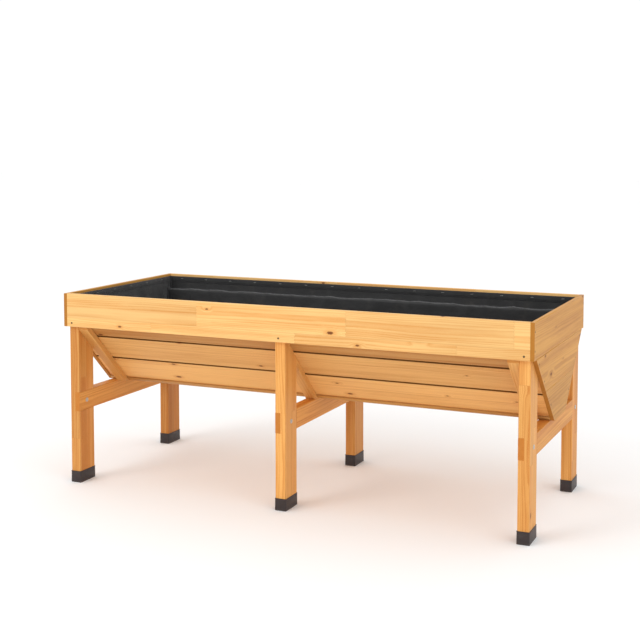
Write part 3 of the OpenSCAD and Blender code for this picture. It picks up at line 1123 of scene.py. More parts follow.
@dataclass
class Trough:
    """The sloping slats, base boards, end boards and battens."""

    layout: Layout
    finishes: Finishes
    screws: "WoodScrews"
    ease: float = 2.2 * MM
    end_ease: float = 0.7 * MM
    batten_ease: float = 1.8 * MM
    batten_thick: float = 22 * MM
    # The gap value paints shade on the slats' edges in the gaps, the top value paints the rim's
    # shadow on the top slat, and the other values make whole boards darker, or lighter when
    # below zero.
    gap_stain: float = 2.6
    base_stain: float = 0.7
    low_stain: float = -0.35
    mid_stain: float = 0.0
    top_stain: float = 0.9

    def build(self) -> None:
        """Builds the boards of the trough."""
        for row in Row:
            self._low_slat(row)
            self._mid_slat(row)
            self._top_slat(row)
            self._base_board(row)
            for side in Side:
                self._batten(side, row)
        for side in (Side.LEFT, Side.RIGHT):
            for level in ("low", "high"):
                self._end_board(side, level)

    def _sloped(
        self,
        name: str,
        node: str,
        row: Row,
        ends: tuple[float, float],
        cuts: list[Cut],
        stain: float,
    ) -> None:
        """Builds one long slat on the slope.

        Args:
            name: the new piece's name.
            node: the CAD node.
            row: the side it is on.
            ends: where its lower and upper edges are along the slope.
            cuts: saw cuts along its edges.
            stain: how much darker it is than its neighbours; on the top slat this is painted
                shadow from the rim.
        """
        lay = self.layout
        low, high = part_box(node)
        middle = lay.slope_point(row, sum(ends) / 2, -lay.slat_thick / 2)
        # The slats' narrow edges take painted shade, as if shaded inside the gaps between slats.
        timber = Timber(
            name=name,
            middle=Vector(((low.x + high.x) / 2, middle.y, middle.z)),
            along=X,
            across=lay.up_slope(row),
            sizes=(high.x - low.x, ends[1] - ends[0], lay.slat_thick),
            cuts=cuts,
            ease=self.ease,
            stain=stain,
            edge_stain=self.gap_stain,
        )
        hand_over(timber.make(), self.finishes.slat, [node])

    def _low_slat(self, row: Row) -> None:
        """Builds the lowest slat, whose foot lies flat on the base."""
        lay = self.layout
        node = f"slat_{row}_low"
        foot = Cut(Vector((0, 0, lay.base_top)), -Z)
        low = -lay.slat_thick * math.tan(lay.lean) - 4 * self.ease
        ends = (low, lay.upper_edge(node))
        self._sloped(f"side_slat_{row}_low", node, row, ends, [foot], self.low_stain)

    def _mid_slat(self, row: Row) -> None:
        """Builds the middle slat."""
        node = f"slat_{row}_mid"
        ends = (self.layout.lower_edge(node), self.layout.upper_edge(node))
        self._sloped(f"side_slat_{row}_mid", node, row, ends, [], self.mid_stain)

    def _top_slat(self, row: Row) -> None:
        """Builds the narrow slat that ends against the ledger."""
        lay = self.layout
        node = f"slat_{row}_top"
        wall = Cut(Vector((0, row.value * lay.ledger_in, 0)), Y * row.value)
        high = lay.along_slope(lay.ledger_in, -lay.slat_thick) + 4 * self.ease
        ends = (lay.lower_edge(node), high)
        # Painted shadow: the top slat is coloured darker where the rim shades it.
        self._sloped(f"side_slat_{row}_top", node, row, ends, [wall], self.top_stain)

    def _base_board(self, row: Row) -> None:
        """Builds one base board, its outer edge cut to the slope."""
        node = f"base_board_{row}"
        low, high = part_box(node)
        spans = high - low
        outer = max(abs(low.y), abs(high.y)) * row.value
        slope = Cut(Vector((0, outer, high.z)), self.layout.off_slope(row))
        timber = Timber(
            f"floor_board_{row}",
            between(low, high),
            X,
            Y,
            (spans.x, spans.y, spans.z),
            cuts=[slope],
            ease=self.ease / 2,
            stain=self.base_stain,
        )
        hand_over(timber.make(), self.finishes.inner, [node])

    def _end_board(self, side: Side, level: str) -> None:
        """Builds one end board, cut to the slope at both ends."""
        lay = self.layout
        node = f"end_board_{side}_{level}"
        low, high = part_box(node)
        spans = high - low
        over = 0.02
        cuts = [
            Cut(Vector((0, row.value * high.y, high.z)), lay.off_slope(row)) for row in Row
        ]
        timber = Timber(
            f"gable_board_{side}_{level}",
            between(low, high),
            Y,
            Z,
            (spans.y + over, spans.z, spans.x),
            cuts=cuts,
            ease=self.end_ease,
        )
        seats = [
            place
            for place in self.screws.gable_places(side)
            if low.z < place.translation.z < high.z
        ]
        piece = timber.make([self.screws.seats(seats)])
        hand_over(piece, self.finishes.end, [node])

    def _batten(self, side: Side, row: Row) -> None:
        """Builds one batten along the outside of the slats and around the base's edge."""
        lay, thick, over = self.layout, self.batten_thick, 0.01
        node = f"batten_{row}_{side}"
        low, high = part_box(node)
        reach = max(abs(low.y), abs(high.y))
        length = lay.along_slope(reach) + 3 * thick
        middle = lay.slope_point(row, length / 2 - 1.5 * thick, thick / 2)
        cuts = [
            Cut(Vector((0, 0, lay.bar_top)), -Z),
            Cut(Vector((0, row.value * reach, 0)), Y * row.value),
        ]
        if side is not Side.MID:
            cuts.append(Cut(Vector((0, 0, lay.rail_low)), Z))
        timber = Timber(
            f"rib_{row}_{side}",
            Vector(((low.x + high.x) / 2, middle.y, middle.z)),
            lay.up_slope(row),
            X,
            (length, high.x - low.x, thick),
            cuts=cuts,
            ease=self.batten_ease,
        )
        wide = row.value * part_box("base_board_back")[1].y
        drop = (lay.base_top - lay.bar_top) + over
        narrow = wide - row.value * drop * math.tan(lay.lean)
        profile = [
            (0.0, lay.base_top),
            (wide, lay.base_top),
            (narrow, lay.base_top - drop),
            (0.0, lay.base_top - drop),
        ]
        base = prism("base_room", profile, low.x - over, high.x + over)
        hand_over(timber.make([base]), self.finishes.inner, [node])


# --------------------------------------------------------------------------
# Turned and repeated parts
# --------------------------------------------------------------------------

Ring = list[tuple[float, float, float]]


def loft(name: str, rings: Sequence[Ring], smooth_angle: float = 35.0) -> bpy.types.Object:
    """Joins closed rings of equal count into one closed mesh.

    Args:
        name: the object's name.
        rings: the rings in order, the first and last of which are capped.
        smooth_angle: the largest angle, in degrees, that is shaded smooth.

    Returns:
        The object.
    """
    work = bmesh.new()
    made = [[work.verts.new(point) for point in ring] for ring in rings]
    count = len(made[0])
    for lower, upper in zip(made, made[1:]):
        for i in range(count):
            j = (i + 1) % count
            work.faces.new((lower[i], lower[j], upper[j], upper[i]))
    work.faces.new(made[0])
    work.faces.new(made[-1])
    bmesh.ops.recalc_face_normals(work, faces=work.faces)
    limit = math.radians(smooth_angle)
    for face in work.faces:
        face.smooth = True
    for edge in work.edges:
        if len(edge.link_faces) == 2 and edge.calc_face_angle() > limit:
            edge.smooth = False
    return from_bmesh(name, work)


def round_ring(radius: float, height: float, count: int) -> Ring:
    """A circle at a height."""
    turns = (2 * math.pi * i / count for i in range(count))
    return [(radius * math.cos(a), radius * math.sin(a), height) for a in turns]


def hex_ring(corner: float, height: float, count: int) -> Ring:
    """A hexagon at a height, with its points spread evenly by angle."""
    ring = []
    sixth = math.pi / 3
    for i in range(count):
        angle = 2 * math.pi * i / count
        within = angle % sixth - sixth / 2
        reach = corner * math.cos(sixth / 2) / math.cos(within)
        ring.append((reach * math.cos(angle), reach * math.sin(angle), height))
    return ring


def cross_ring(arm: float, half_width: float, height: float, count: int) -> Ring:
    """A four-armed recess at a height, with rounded inner corners."""
    ring = []
    for i in range(count):
        angle = 2 * math.pi * i / count
        side = abs(math.sin(2 * angle))
        reach = half_width * 1.35 + (arm - half_width * 1.35) * max(0.0, 1 - side * 2.4)
        ring.append((reach * math.cos(angle), reach * math.sin(angle), height))
    return ring


def slab_ring(low: Vector, high: Vector, inset: float, corner: float, height: float) -> Ring:
    """A rectangle with rounded corners at a height.

    Args:
        low: the lowest corner of the full rectangle.
        high: the highest corner of the full rectangle.
        inset: how far inside the full rectangle it lies.
        corner: the corner radius.
        height: the height.

    Returns:
        The ring's points.
    """
    ring = []
    half_x, half_y = (high.x - low.x) / 2 - inset, (high.y - low.y) / 2 - inset
    centre_x, centre_y = (high.x + low.x) / 2, (high.y + low.y) / 2
    steps = 5
    for sign_x, sign_y, start in ((1, 1, 0), (-1, 1, 90), (-1, -1, 180), (1, -1, 270)):
        for step in range(steps + 1):
            angle = math.radians(start + 90 * step / steps)
            ring.append(
                (
                    centre_x + sign_x * (half_x - corner) + corner * math.cos(angle),
                    centre_y + sign_y * (half_y - corner) + corner * math.sin(angle),
                    height,
                )
            )
    return ring


@dataclass
class Repeater:
    """Geometry Nodes that set one small part at each of many places."""

    name: str
    template: bpy.types.Object
    places: Sequence[Matrix]
    finish: bpy.types.Material
    spin: float = 0.0
    seed: int = 11

    def _points(self) -> bpy.types.Object:
        """One vertex for each place, with its turn as an attribute."""
        mesh = bpy.data.meshes.new(self.name)
        mesh.from_pydata([tuple(place.translation) for place in self.places], [], [])
        turns = mesh.attributes.new("turn", "QUATERNION", "POINT")
        values = [part for place in self.places for part in place.to_quaternion()]
        turns.data.foreach_set("value", values)
        return add_object(self.name, mesh)

    def _tree(self) -> bpy.types.NodeTree:
        """The node tree: place, spin, realise and finish."""
        tree = bpy.data.node_groups.new(f"{self.name}_repeat", "GeometryNodeTree")
        sockets = tree.interface
        sockets.new_socket("Places", in_out="INPUT", socket_type="NodeSocketGeometry")
        sockets.new_socket("Part", in_out="INPUT", socket_type="NodeSocketObject")
        sockets.new_socket("Spin", in_out="INPUT", socket_type="NodeSocketFloat")
        sockets.new_socket("Seed", in_out="INPUT", socket_type="NodeSocketInt")
        sockets.new_socket("Finish", in_out="INPUT", socket_type="NodeSocketMaterial")
        sockets.new_socket("Parts", in_out="OUTPUT", socket_type="NodeSocketGeometry")
        new, link = tree.nodes.new, tree.links.new
        given, result = new("NodeGroupInput"), new("NodeGroupOutput")
        part = new("GeometryNodeObjectInfo")
        turn = new("GeometryNodeInputNamedAttribute")
        turn.data_type = "QUATERNION"
        turn.inputs["Name"].default_value = "turn"
        chance = new("FunctionNodeRandomValue")
        chance.data_type = "FLOAT"
        extra = new("FunctionNodeAxisAngleToRotation")
        extra.inputs["Axis"].default_value = (0, 0, 1)
        both = new("FunctionNodeRotateRotation")
        both.rotation_space = "LOCAL"
        place = new("GeometryNodeInstanceOnPoints")
        real, dress = new("GeometryNodeRealizeInstances"), new("GeometryNodeSetMaterial")
        link(given.outputs["Part"], part.inputs["Object"])
        link(given.outputs["Spin"], chance.inputs[3])
        link(given.outputs["Seed"], chance.inputs["Seed"])
        link(chance.outputs[1], extra.inputs["Angle"])
        link(turn.outputs["Attribute"], both.inputs["Rotation"])
        link(extra.outputs[0], both.inputs["Rotate By"])
        link(given.outputs["Places"], place.inputs["Points"])
        link(part.outputs["Geometry"], place.inputs["Instance"])
        link(both.outputs[0], place.inputs["Rotation"])
        link(place.outputs[0], real.inputs[0])
        link(real.outputs[0], dress.inputs["Geometry"])
        link(given.outputs["Finish"], dress.inputs["Material"])
        link(dress.outputs[0], result.inputs[0])
        return tree

    def build(self) -> bpy.types.Object:
        """Returns the parts as one plain mesh."""
        piece = self._points()
        modifier = piece.modifiers.new("repeat", "NODES")
        tree = self._tree()
        modifier.node_group = tree
        given = {
            item.name: item.identifier
            for item in tree.interface.items_tree
            if item.in_out == "INPUT"
        }
        modifier[given["Part"]] = self.template
        modifier[given["Spin"]] = self.spin
        modifier[given["Seed"]] = self.seed
        modifier[given["Finish"]] = self.finish
        settle(piece)
        bpy.data.objects.remove(self.template)
        spare = piece.data.attributes.get("turn")
        if spare is not None:
            piece.data.attributes.remove(spare)
        return piece


def facing(point: Vector, out: Vector, up: Vector = Z) -> Matrix:
    """A place at a point whose own Z looks out of the surface and own X lies across up.

    Args:
        point: the point on the surface.
        out: the way out of the surface.
        up: a second way that isn't parallel to out.

    Returns:
        The place as a matrix.
    """
    out = out.normalized()
    side = up.cross(out).normalized()
    top = out.cross(side)
    turned = Matrix((side, top, out)).transposed().to_4x4()
    return Matrix.Translation(point) @ turned


# --------------------------------------------------------------------------
# Boots, bolts and screws
# --------------------------------------------------------------------------


@dataclass
class Boots:
    """Six moulded boots, open at the top, one on each leg."""

    finishes: Finishes
    wall: float = 2.0 * MM
    floor: float = 4.0 * MM
    corner: float = 3.0 * MM
    lip: float = 3.2 * MM

    def build(self) -> None:
        """Builds the boots."""
        for side in Side:
            for row in Row:
                node = f"boot_{row}_{side}"
                low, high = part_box(node)
                name = f"shoe_{row}_{side}"
                piece = loft(name, self._rings(low, high))
                hand_over(piece, self.finishes.boot, [node])

    def _rings(self, low: Vector, high: Vector) -> list[Ring]:
        """The boot's section from under its sole, up outside and down inside."""
        top = high.z
        steps = (
            (6.0 * MM, low.z + 1.2 * MM),
            (5.4 * MM, low.z),
            (1.3 * MM, low.z),
            (0.5 * MM, low.z + 0.4 * MM),
            (0.1 * MM, low.z + 1.6 * MM),
            (0.55 * MM, top - self.lip - 0.6 * MM),
            (0.0, top - self.lip),
            (0.0, top - 0.9 * MM),
            (0.3 * MM, top - 0.2 * MM),
            (0.8 * MM, top),
            (1.5 * MM, top - 0.1 * MM),
            (self.wall, top - 0.8 * MM),
            (self.wall, low.z + self.floor),
        )
        return [
            slab_ring(low, high, inset, max(self.corner - inset * 0.6, 0.8 * MM), height)
            for inset, height in steps
        ]


@dataclass
class BarBolts:
    """Sleeve bolts through the laps, with a disc head and hexagon socket on each side."""

    layout: Layout
    finishes: Finishes
    head: float = 8.0 * MM
    head_thick: float = 1.6 * MM
    shank: float = 4.0 * MM
    socket: float = 3.0 * MM
    socket_deep: float = 1.2 * MM
    count: int = 36

    def _template(self) -> bpy.types.Object:
        """Half of a bolt: one head with half of the shank below it."""
        half = self._half_width()
        top, n = self.head_thick, self.count
        rings = [
            round_ring(self.shank, -half, n),
            round_ring(self.shank, 0.0, n),
            round_ring(self.head, 0.0, n),
            round_ring(self.head, top * 0.55, n),
            round_ring(self.head - 0.25 * MM, top * 0.85, n),
            round_ring(self.head - 0.8 * MM, top, n),
            round_ring(self.socket + 1.3 * MM, top, n),
            hex_ring(self.socket + 0.3 * MM, top - 0.15 * MM, n),
            hex_ring(self.socket, top - 0.4 * MM, n),
            hex_ring(self.socket, top - self.socket_deep, n),
        ]
        return loft("bolt_half", rings)

    @staticmethod
    def _half_width() -> float:
        """Half of a leg's width."""
        low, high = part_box("leg_front_mid")
        return (high.x - low.x) / 2

    def build(self) -> None:
        """Builds all bolts as one piece."""
        lay = self.layout
        height = (lay.bar_top + lay.bar_low) / 2
        across = (lay.rail_in + lay.leg_in) / 2
        places = []
        for side in Side:
            low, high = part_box(f"leg_front_{side}")
            for row in Row:
                for face, out in ((low.x, -X), (high.x, X)):
                    point = Vector((face, row.value * across, height))
                    places.append(facing(point, out))
        repeat = Repeater(
            "sleeve_bolts", self._template(), places, self.finishes.bolt, spin=1.0, seed=5
        )
        hand_over(repeat.build(), None, ["bar_bolts"])


@dataclass
class WoodScrews:
    """Countersunk screws in the rim, gables, base and slats."""

    layout: Layout
    finishes: Finishes
    head: float = 3.5 * MM
    shank: float = 1.8 * MM
    sunk: float = 0.2 * MM
    long_reach: float = 32 * MM
    short_reach: float = 28 * MM
    rise: float = 14 * MM
    spin: float = 6.28
    count: int = 24
    seat_count: int = 20

    def _template(self, reach: float) -> bpy.types.Object:
        """A screw with its head just under its own z = 0."""
        top, n = -self.sunk, self.count
        rings = [
            round_ring(0.2 * MM, -reach, n),
            round_ring(self.shank, -reach + 5 * MM, n),
            round_ring(self.shank, top - 2.4 * MM, n),
            round_ring(self.head - 0.1 * MM, top - 0.45 * MM, n),
            round_ring(self.head, top - 0.2 * MM, n),
            round_ring(self.head - 0.15 * MM, top, n),
            round_ring(self.head - 0.9 * MM, top, n),
            cross_ring(2.1 * MM, 0.5 * MM, top, n),
            cross_ring(1.7 * MM, 0.35 * MM, top - 1.1 * MM, n),
        ]
        return loft("screw_part", rings)

    def seats(self, places: Sequence[Matrix]) -> bpy.types.Object:
        """Countersinks for a set of screws, as one cutter."""
        work = bmesh.new()
        n = self.seat_count
        for place in places:
            rings = [
                round_ring(self.head + 0.45 * MM, 1.0 * MM, n),
                round_ring(self.head + 0.45 * MM, -0.1 * MM, n),
                round_ring(self.head + 0.15 * MM, -0.9 * MM, n),
                round_ring(self.shank, -3.0 * MM, n),
            ]
            made = [[work.verts.new(place @ Vector(p)) for p in ring] for ring in rings]
            for lower, upper in zip(made, made[1:]):
                for i in range(n):
                    j = (i + 1) % n
                    work.faces.new((lower[i], lower[j], upper[j], upper[i]))
            work.faces.new(made[0])
            work.faces.new(made[-1])
        bmesh.ops.recalc_face_normals(work, faces=work.faces)
        return from_bmesh("screw_seats", work)

    def rail_places(self, row: Row) -> list[Matrix]:
        """Screws through a long rail into the leg tongues."""
        lay = self.layout
        places = []
        for side in Side:
            low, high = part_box(f"leg_front_{side}")
            point = Vector(
                ((low.x + high.x) / 2, row.value * lay.half_depth, lay.rail_low + self.rise)
            )
            places.append(facing(point, Y * row.value))
        return places

    def corner_places(self, side: Side) -> list[Matrix]:
        """Screws through an end rail into the long rails."""
        lay = self.layout
        across = (lay.half_depth + lay.rail_in) / 2
        height = lay.rail_top - lay.rail_low
        return [
            facing(
                Vector(
                    (
                        side.value * lay.half_length,
                        row.value * across,
                        lay.rail_low + height * share,
                    )
                ),
                X * side.value,
            )
            for row in Row
            for share in (0.25, 0.75)
        ]

    def _slat_middles(self) -> list[float]:
        """The middle of each slat along the slope, from the boxes."""
        lay = self.layout
        low_top = lay.upper_edge("slat_back_low")
        mid_low, mid_top = lay.lower_edge("slat_back_mid"), lay.upper_edge("slat_back_mid")
        top_low = lay.lower_edge("slat_back_top")
        return [low_top / 2, (mid_low + mid_top) / 2, (top_low + lay.slope_length) / 2]

    def gable_places(self, side: Side) -> list[Matrix]:
        """Screws through the gable boards into the ends of the slats."""
        lay = self.layout
        places = []
        for row in Row:
            for along in self._slat_middles():
                point = lay.slope_point(row, along, -lay.slat_thick / 2)
                point.x = side.value * lay.half_length
                places.append(facing(point, X * side.value))
        return places

    def base_places(self) -> list[Matrix]:
        """Screws down through the base boards into the cross bars."""
        lay = self.layout
        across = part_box("base_screws")[1].y - self.head
        places = []
        for side in Side:
            bar_low, bar_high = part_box(f"cross_bar_{side}")
            for row in Row:
                point = Vector(((bar_low.x + bar_high.x) / 2, row.value * across, lay.base_top))
                places.append(facing(point, Z, Y))
        return places

    def batten_places(self) -> list[Matrix]:
        """Screws through the slats into the battens."""
        lay = self.layout
        first, second, third = self._slat_middles()
        upper = lay.lower_edge("slat_back_mid") + first * 2 / 3
        places = []
        for row in Row:
            for side in Side:
                low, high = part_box(f"batten_{row}_{side}")
                spots = (first, upper) if side is Side.MID else (first, second, third)
                for along in spots:
                    point = lay.slope_point(row, along, -lay.slat_thick)
                    point.x = (low.x + high.x) / 2
                    places.append(facing(point, -lay.off_slope(row), X))
        return places

    def build(self) -> None:
        """Builds each group of screws."""
        ends = (Side.LEFT, Side.RIGHT)
        groups = (
            ("leg_screws", [p for row in Row for p in self.rail_places(row)], self.long_reach),
            ("corner_screws", [p for s in ends for p in self.corner_places(s)], self.long_reach),
            ("end_screws", [p for s in ends for p in self.gable_places(s)], self.long_reach),
            ("base_screws", self.base_places(), self.long_reach),
            ("batten_screws", self.batten_places(), self.short_reach),
        )
        for seed, (node, places, reach) in enumerate(groups, start=3):
            name = node.replace("_screws", "_fixings")
            template = self._template(reach)
            repeat = Repeater(name, template, places, self.finishes.screw, self.spin, seed)
            hand_over(repeat.build(), None, [node])


# --------------------------------------------------------------------------
# Liner
# --------------------------------------------------------------------------


@dataclass
class Cloth:
    """Panels of cloth being laid: their points, faces and cloth map in metres."""

    points: list[Vector] = field(default_factory=list)
    faces: list[tuple[int, ...]] = field(default_factory=list)
    chart: list[tuple[float, float]] = field(default_factory=list)

    def lay(
        self,
        rows: Sequence[float],
        columns: Sequence[float],
        place: Callable[[float, float], Vector],
        flip: bool,
    ) -> None:
        """Adds one panel.

        Args:
            rows: the first coordinate of each row.
            columns: the second coordinate of each column.
            place: gives the point for a row and a column.
            flip: turns the faces round.
        """
        start = len(self.points)
        wide = len(columns)
        for row in rows:
            for column in columns:
                self.points.append(place(row, column))
                self.chart.append((row, column))
        for i in range(len(rows) - 1):
            for j in range(wide - 1):
                a = start + i * wide + j
                ring = (a, a + 1, a + wide + 1, a + wide)
                self.faces.append(tuple(reversed(ring)) if flip else ring)

    def sew(self, name: str, thick: float) -> bpy.types.Object:
        """Makes the panels one object with its own cloth map and thickness."""
        mesh = bpy.data.meshes.new(name)
        mesh.from_pydata(self.points, [], self.faces)
        layer = mesh.uv_layers.new(name="cloth")
        for loop in mesh.loops:
            layer.data[loop.index].uv = self.chart[loop.vertex_index]
        for face in mesh.polygons:
            face.use_smooth = True
        piece = add_object(name, mesh)
        wall = piece.modifiers.new("wall", "SOLIDIFY")
        wall.thickness, wall.offset = thick, 0.0
        settle(piece)
        return piece


@dataclass
class Liner:
    """The black fabric that lines the trough, sewn from a long panel and two ends."""

    layout: Layout
    finishes: Finishes
    clear: float = 1.25 * MM
    thick: float = 0.9 * MM
    band_thick: float = 0.8 * MM
    hem: float = 24 * MM
    pitch: float = 9 * MM
    bend: float = 7 * MM
    staple_pitch: float = 118 * MM
    flat: tuple[float, float] = (1.14, 2.48)
    area: float = 2.37

    @property
    def _half_length(self) -> float:
        """Half of the cloth's length in the trough."""
        return self.layout.end_in - self.clear

    def _corners(self) -> list[tuple[float, float]]:
        """The half section of the trough just inside its boards, from the middle out."""
        lay, c = self.layout, self.clear
        low = lay.base_top + c
        tilt = math.tan(lay.lean)
        shift = c / math.cos(lay.lean)
        foot = lay.slat_inner_foot + c * tilt - shift
        wall = lay.ledger_in - c
        head = lay.base_top + (wall - lay.slat_inner_foot + shift) / tilt
        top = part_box("liner")[1].z
        return [
            (0.0, low),
            (foot, low),
            (wall, head),
            (wall, lay.ledger_top + c),
            (lay.rail_in - c, lay.ledger_top + c),
            (lay.rail_in - c, top),
        ]

    def _half_section(self) -> np.ndarray:
        """The half section with rounded bends, as even points and the points of each bend.

        Returns:
            Rows of Y, Z and distance from the middle. The bend over the ledger's edge
            is half as wide as the others, so the cloth lies clear of the wood.
        """
        corners = [np.array(c) for c in self._corners()]
        path = [corners[0]]
        ledger_edge = 2
        bends = []
        for spot, (before, corner, after) in enumerate(zip(corners, corners[1:], corners[2:])):
            back, ahead = before - corner, after - corner
            bend = self.bend / 2 if spot == ledger_edge else self.bend
            reach = min(bend, np.linalg.norm(back) * 0.45, np.linalg.norm(ahead) * 0.45)
            start = corner + back / np.linalg.norm(back) * reach
            stop = corner + ahead / np.linalg.norm(ahead) * reach
            for t in np.linspace(0, 1, 6):
                bends.append(len(path))
                path.append((1 - t) ** 2 * start + 2 * t * (1 - t) * corner + t * t * stop)
        path.append(corners[-1])
        path = np.array(path)
        lengths = np.concatenate([[0], np.cumsum(np.linalg.norm(np.diff(path, axis=0), axis=1))])
        count = int(round(lengths[-1] / self.pitch))
        even = np.linspace(0, lengths[-1], count + 1)
        spots = np.union1d(even, lengths[bends])
        return np.column_stack(
            [np.interp(spots, lengths, path[:, i]) for i in range(2)] + [spots]
        )

    def _section(self) -> tuple[np.ndarray, np.ndarray, np.ndarray]:
        """The whole section from the front rim to the back: distance, Y and Z."""
        half = self._half_section()
        span = np.concatenate([-half[:0:-1, 2], half[:, 2]])
        across = np.concatenate([-half[:0:-1, 0], half[:, 0]])
        height = np.concatenate([half[:0:-1, 1], half[:, 1]])
        return span, across, height

    @staticmethod
    def _fold(x: float, y: float, seed: float) -> float:
        """A crease pattern from 0 to 1 with soft valleys and firmer ridges."""
        value = noise.noise(Vector((x, y, seed)))
        return (1.0 - min(1.0, abs(value) * 2.4)) ** 2

    def _lift(self, u: float, v: float, to_top: float, to_seam: float, seed: float) -> float:
        """How far the cloth stands off the boards, in metres.

        Args:
            u: distance along the trough.
            v: distance across it.
            to_top: distance to the upper edge.
            to_seam: distance to the nearest seam.
            seed: which of the panels it is.

        Returns:
            The lift, never below 0.
        """
        held = min(1.0, to_top / 0.07) * min(1.0, to_seam / 0.05)
        wave = noise.noise(Vector((u * 2.2, v * 2.6, seed + 4.0)))
        skew = u + 0.35 * v + 0.06 * wave
        broad = self._fold(skew * 5.0, v * 2.4, seed)
        fine = self._fold(skew * 13.0 + 3.0, v * 9.0, seed + 9.0)
        crumple = self._fold(u * 30.0, v * 34.0, seed + 17.0)
        folds = 0.0052 * broad + 0.0022 * fine + 0.0008 * crumple + 0.0016 * (wave + 0.6)
        scallop = 0.5 - 0.5 * math.cos(2 * math.pi * u / self.staple_pitch)
        uneven = 0.5 + noise.noise(Vector((round(u / self.staple_pitch) * 3.1, seed, 1.0)))
        slack = 0.0026 * scallop * max(0.2, uneven) * math.exp(-to_top / 0.06)
        return max(0.0, folds) * held + slack * min(1.0, to_seam / 0.03)

    def _place(
        self, section: tuple[np.ndarray, ...], s: float, x: float, proud: float = 0.0
    ) -> tuple[Vector, Vector]:
        """A point on the long panel and the way it faces.

        Args:
            section: the section from _section.
            s: signed distance from the middle of the base.
            x: place along the trough.
            proud: extra distance off the cloth.

        Returns:
            The point and its inward normal.
        """
        span, across, height = section
        step = 2 * MM
        before = (np.interp(s - step, span, across), np.interp(s - step, span, height))
        after = (np.interp(s + step, span, across), np.interp(s + step, span, height))
        run, rise = after[0] - before[0], after[1] - before[1]
        normal = Vector((0.0, -rise, run)).normalized()
        lift = self._lift(x, s, span[-1] - abs(s), self._half_length - abs(x), 2.0)
        spot = Vector((x, np.interp(s, span, across), np.interp(s, span, height)))
        return spot + normal * (lift + proud), normal

    def _half_width(self, z: float) -> float:
        """Half width of the end panel at a height."""
        corners = self._corners()
        ledger = corners[3][1]
        if z >= ledger + 3 * MM:
            return corners[4][0]
        foot, wall = corners[1], corners[2]
        share = min(1.0, (z - foot[1]) / (wall[1] - foot[1]))
        return foot[0] + (wall[0] - foot[0]) * share

    def _end_place(
        self, side: Side, share: float, z: float, proud: float = 0.0
    ) -> tuple[Vector, Vector]:
        """A point on an end panel, by its share of the half width."""
        half = self._half_width(z)
        y = half * share
        top = self._corners()[-1][1]
        normal = X * -side.value
        lift = self._lift(y, z, top - z, half - abs(y), 30.0 + side.value)
        spot = Vector((side.value * self._half_length, y, z))
        return spot + normal * (lift + proud), normal

    def _spread(self, half: float, pitch: float) -> np.ndarray:
        """Evenly spaced places from -half to half."""
        return np.linspace(-half, half, int(round(2 * half / pitch)) + 1)

    def _panels(self) -> bpy.types.Object:
        """The long panel and the two end panels as one sheet."""
        section = self._section()
        cloth = Cloth()
        cloth.lay(
            section[0],
            self._spread(self._half_length, self.pitch),
            lambda s, x: self._place(section, s, x)[0],
            True,
        )
        long_panel = len(cloth.points)
        low, top = self._corners()[0][1], self._corners()[-1][1]
        heights = np.linspace(low, top, int(round((top - low) / self.pitch)) + 1)
        shares = np.linspace(-1, 1, 70)
        for side in (Side.LEFT, Side.RIGHT):
            cloth.lay(
                heights,
                shares,
                lambda z, t, end=side: self._end_place(end, t, z)[0],
                side is Side.LEFT,
            )
        for index in range(long_panel, len(cloth.points)):
            spot = cloth.points[index]
            cloth.chart[index] = (spot.y, spot.z)
        return cloth.sew("trough_cloth", self.thick)

    def _band(self) -> bpy.types.Object:
        """The folded hem around the upper edge, a second layer that stands proud."""
        section = self._section()
        edge = section[0][-1]
        top = self._corners()[-1][1]
        rows = np.array([0.0, 0.3 * MM, 4 * MM, 12 * MM, self.hem - 0.6 * MM, self.hem])
        proud = np.array([0.2, 0.75, 0.95, 0.95, 0.9, 0.2]) * MM
        lift = dict(zip(rows, proud))
        cloth = Cloth()
        for row in Row:
            cloth.lay(
                rows,
                self._spread(self._half_length - 1 * MM, 6 * MM),
                lambda d, x, r=row: self._place(section, r.value * (edge - d), x, lift[d])[0],
                row is Row.BACK,
            )
        for side in (Side.LEFT, Side.RIGHT):
            cloth.lay(
                rows,
                np.linspace(-0.997, 0.997, 120),
                lambda d, t, e=side: self._end_place(e, t, top - d, lift[d])[0],
                side is Side.RIGHT,
            )
        return cloth.sew("trough_hem", self.band_thick)

    def _tapes(self) -> bpy.types.Object:
        """Narrow binding over the seams between the long panel and the ends."""
        section = self._section()
        cloth = Cloth()
        around = np.linspace(0.0, 1.0, 7)
        reach = 5.5 * MM
        for side in (Side.LEFT, Side.RIGHT):

            def tape(s: float, t: float, end: Side = side) -> Vector:
                """A point on the binding's rounded back."""
                spot, normal = self._place(section, s, end.value * self._half_length)
                angle = math.pi / 2 * t
                inward = -end.value * reach * math.cos(angle)
                ripple = 1.0 + 0.12 * noise.noise(Vector((s * 60.0, end.value, 0.0)))
                return spot + X * inward * ripple + normal * reach * math.sin(angle) * ripple

            cloth.lay(section[0], around, tape, side is Side.LEFT)
        return cloth.sew("seam_tapes", self.band_thick)

    def _edge_places(self, pitch: float, drop: float, proud: float) -> list[Matrix]:
        """Places around the upper edge that face the inside of the trough.

        Args:
            pitch: the distance between places.
            drop: how far below the upper edge.
            proud: how far off the cloth.

        Returns:
            The places.
        """
        section = self._section()
        edge, top = section[0][-1], self._corners()[-1][1]
        half = self._half_length
        places = []
        for row in Row:
            for x in np.arange(-half + pitch / 2, half, pitch):
                spot, normal = self._place(section, row.value * (edge - drop), x, proud)
                places.append(facing(spot, normal))
        wide = self._half_width(top)
        for side in (Side.LEFT, Side.RIGHT):
            for y in np.arange(-wide + pitch / 2, wide, pitch):
                spot, normal = self._end_place(side, y / wide, top - drop, proud)
                places.append(facing(spot, normal))
        return places

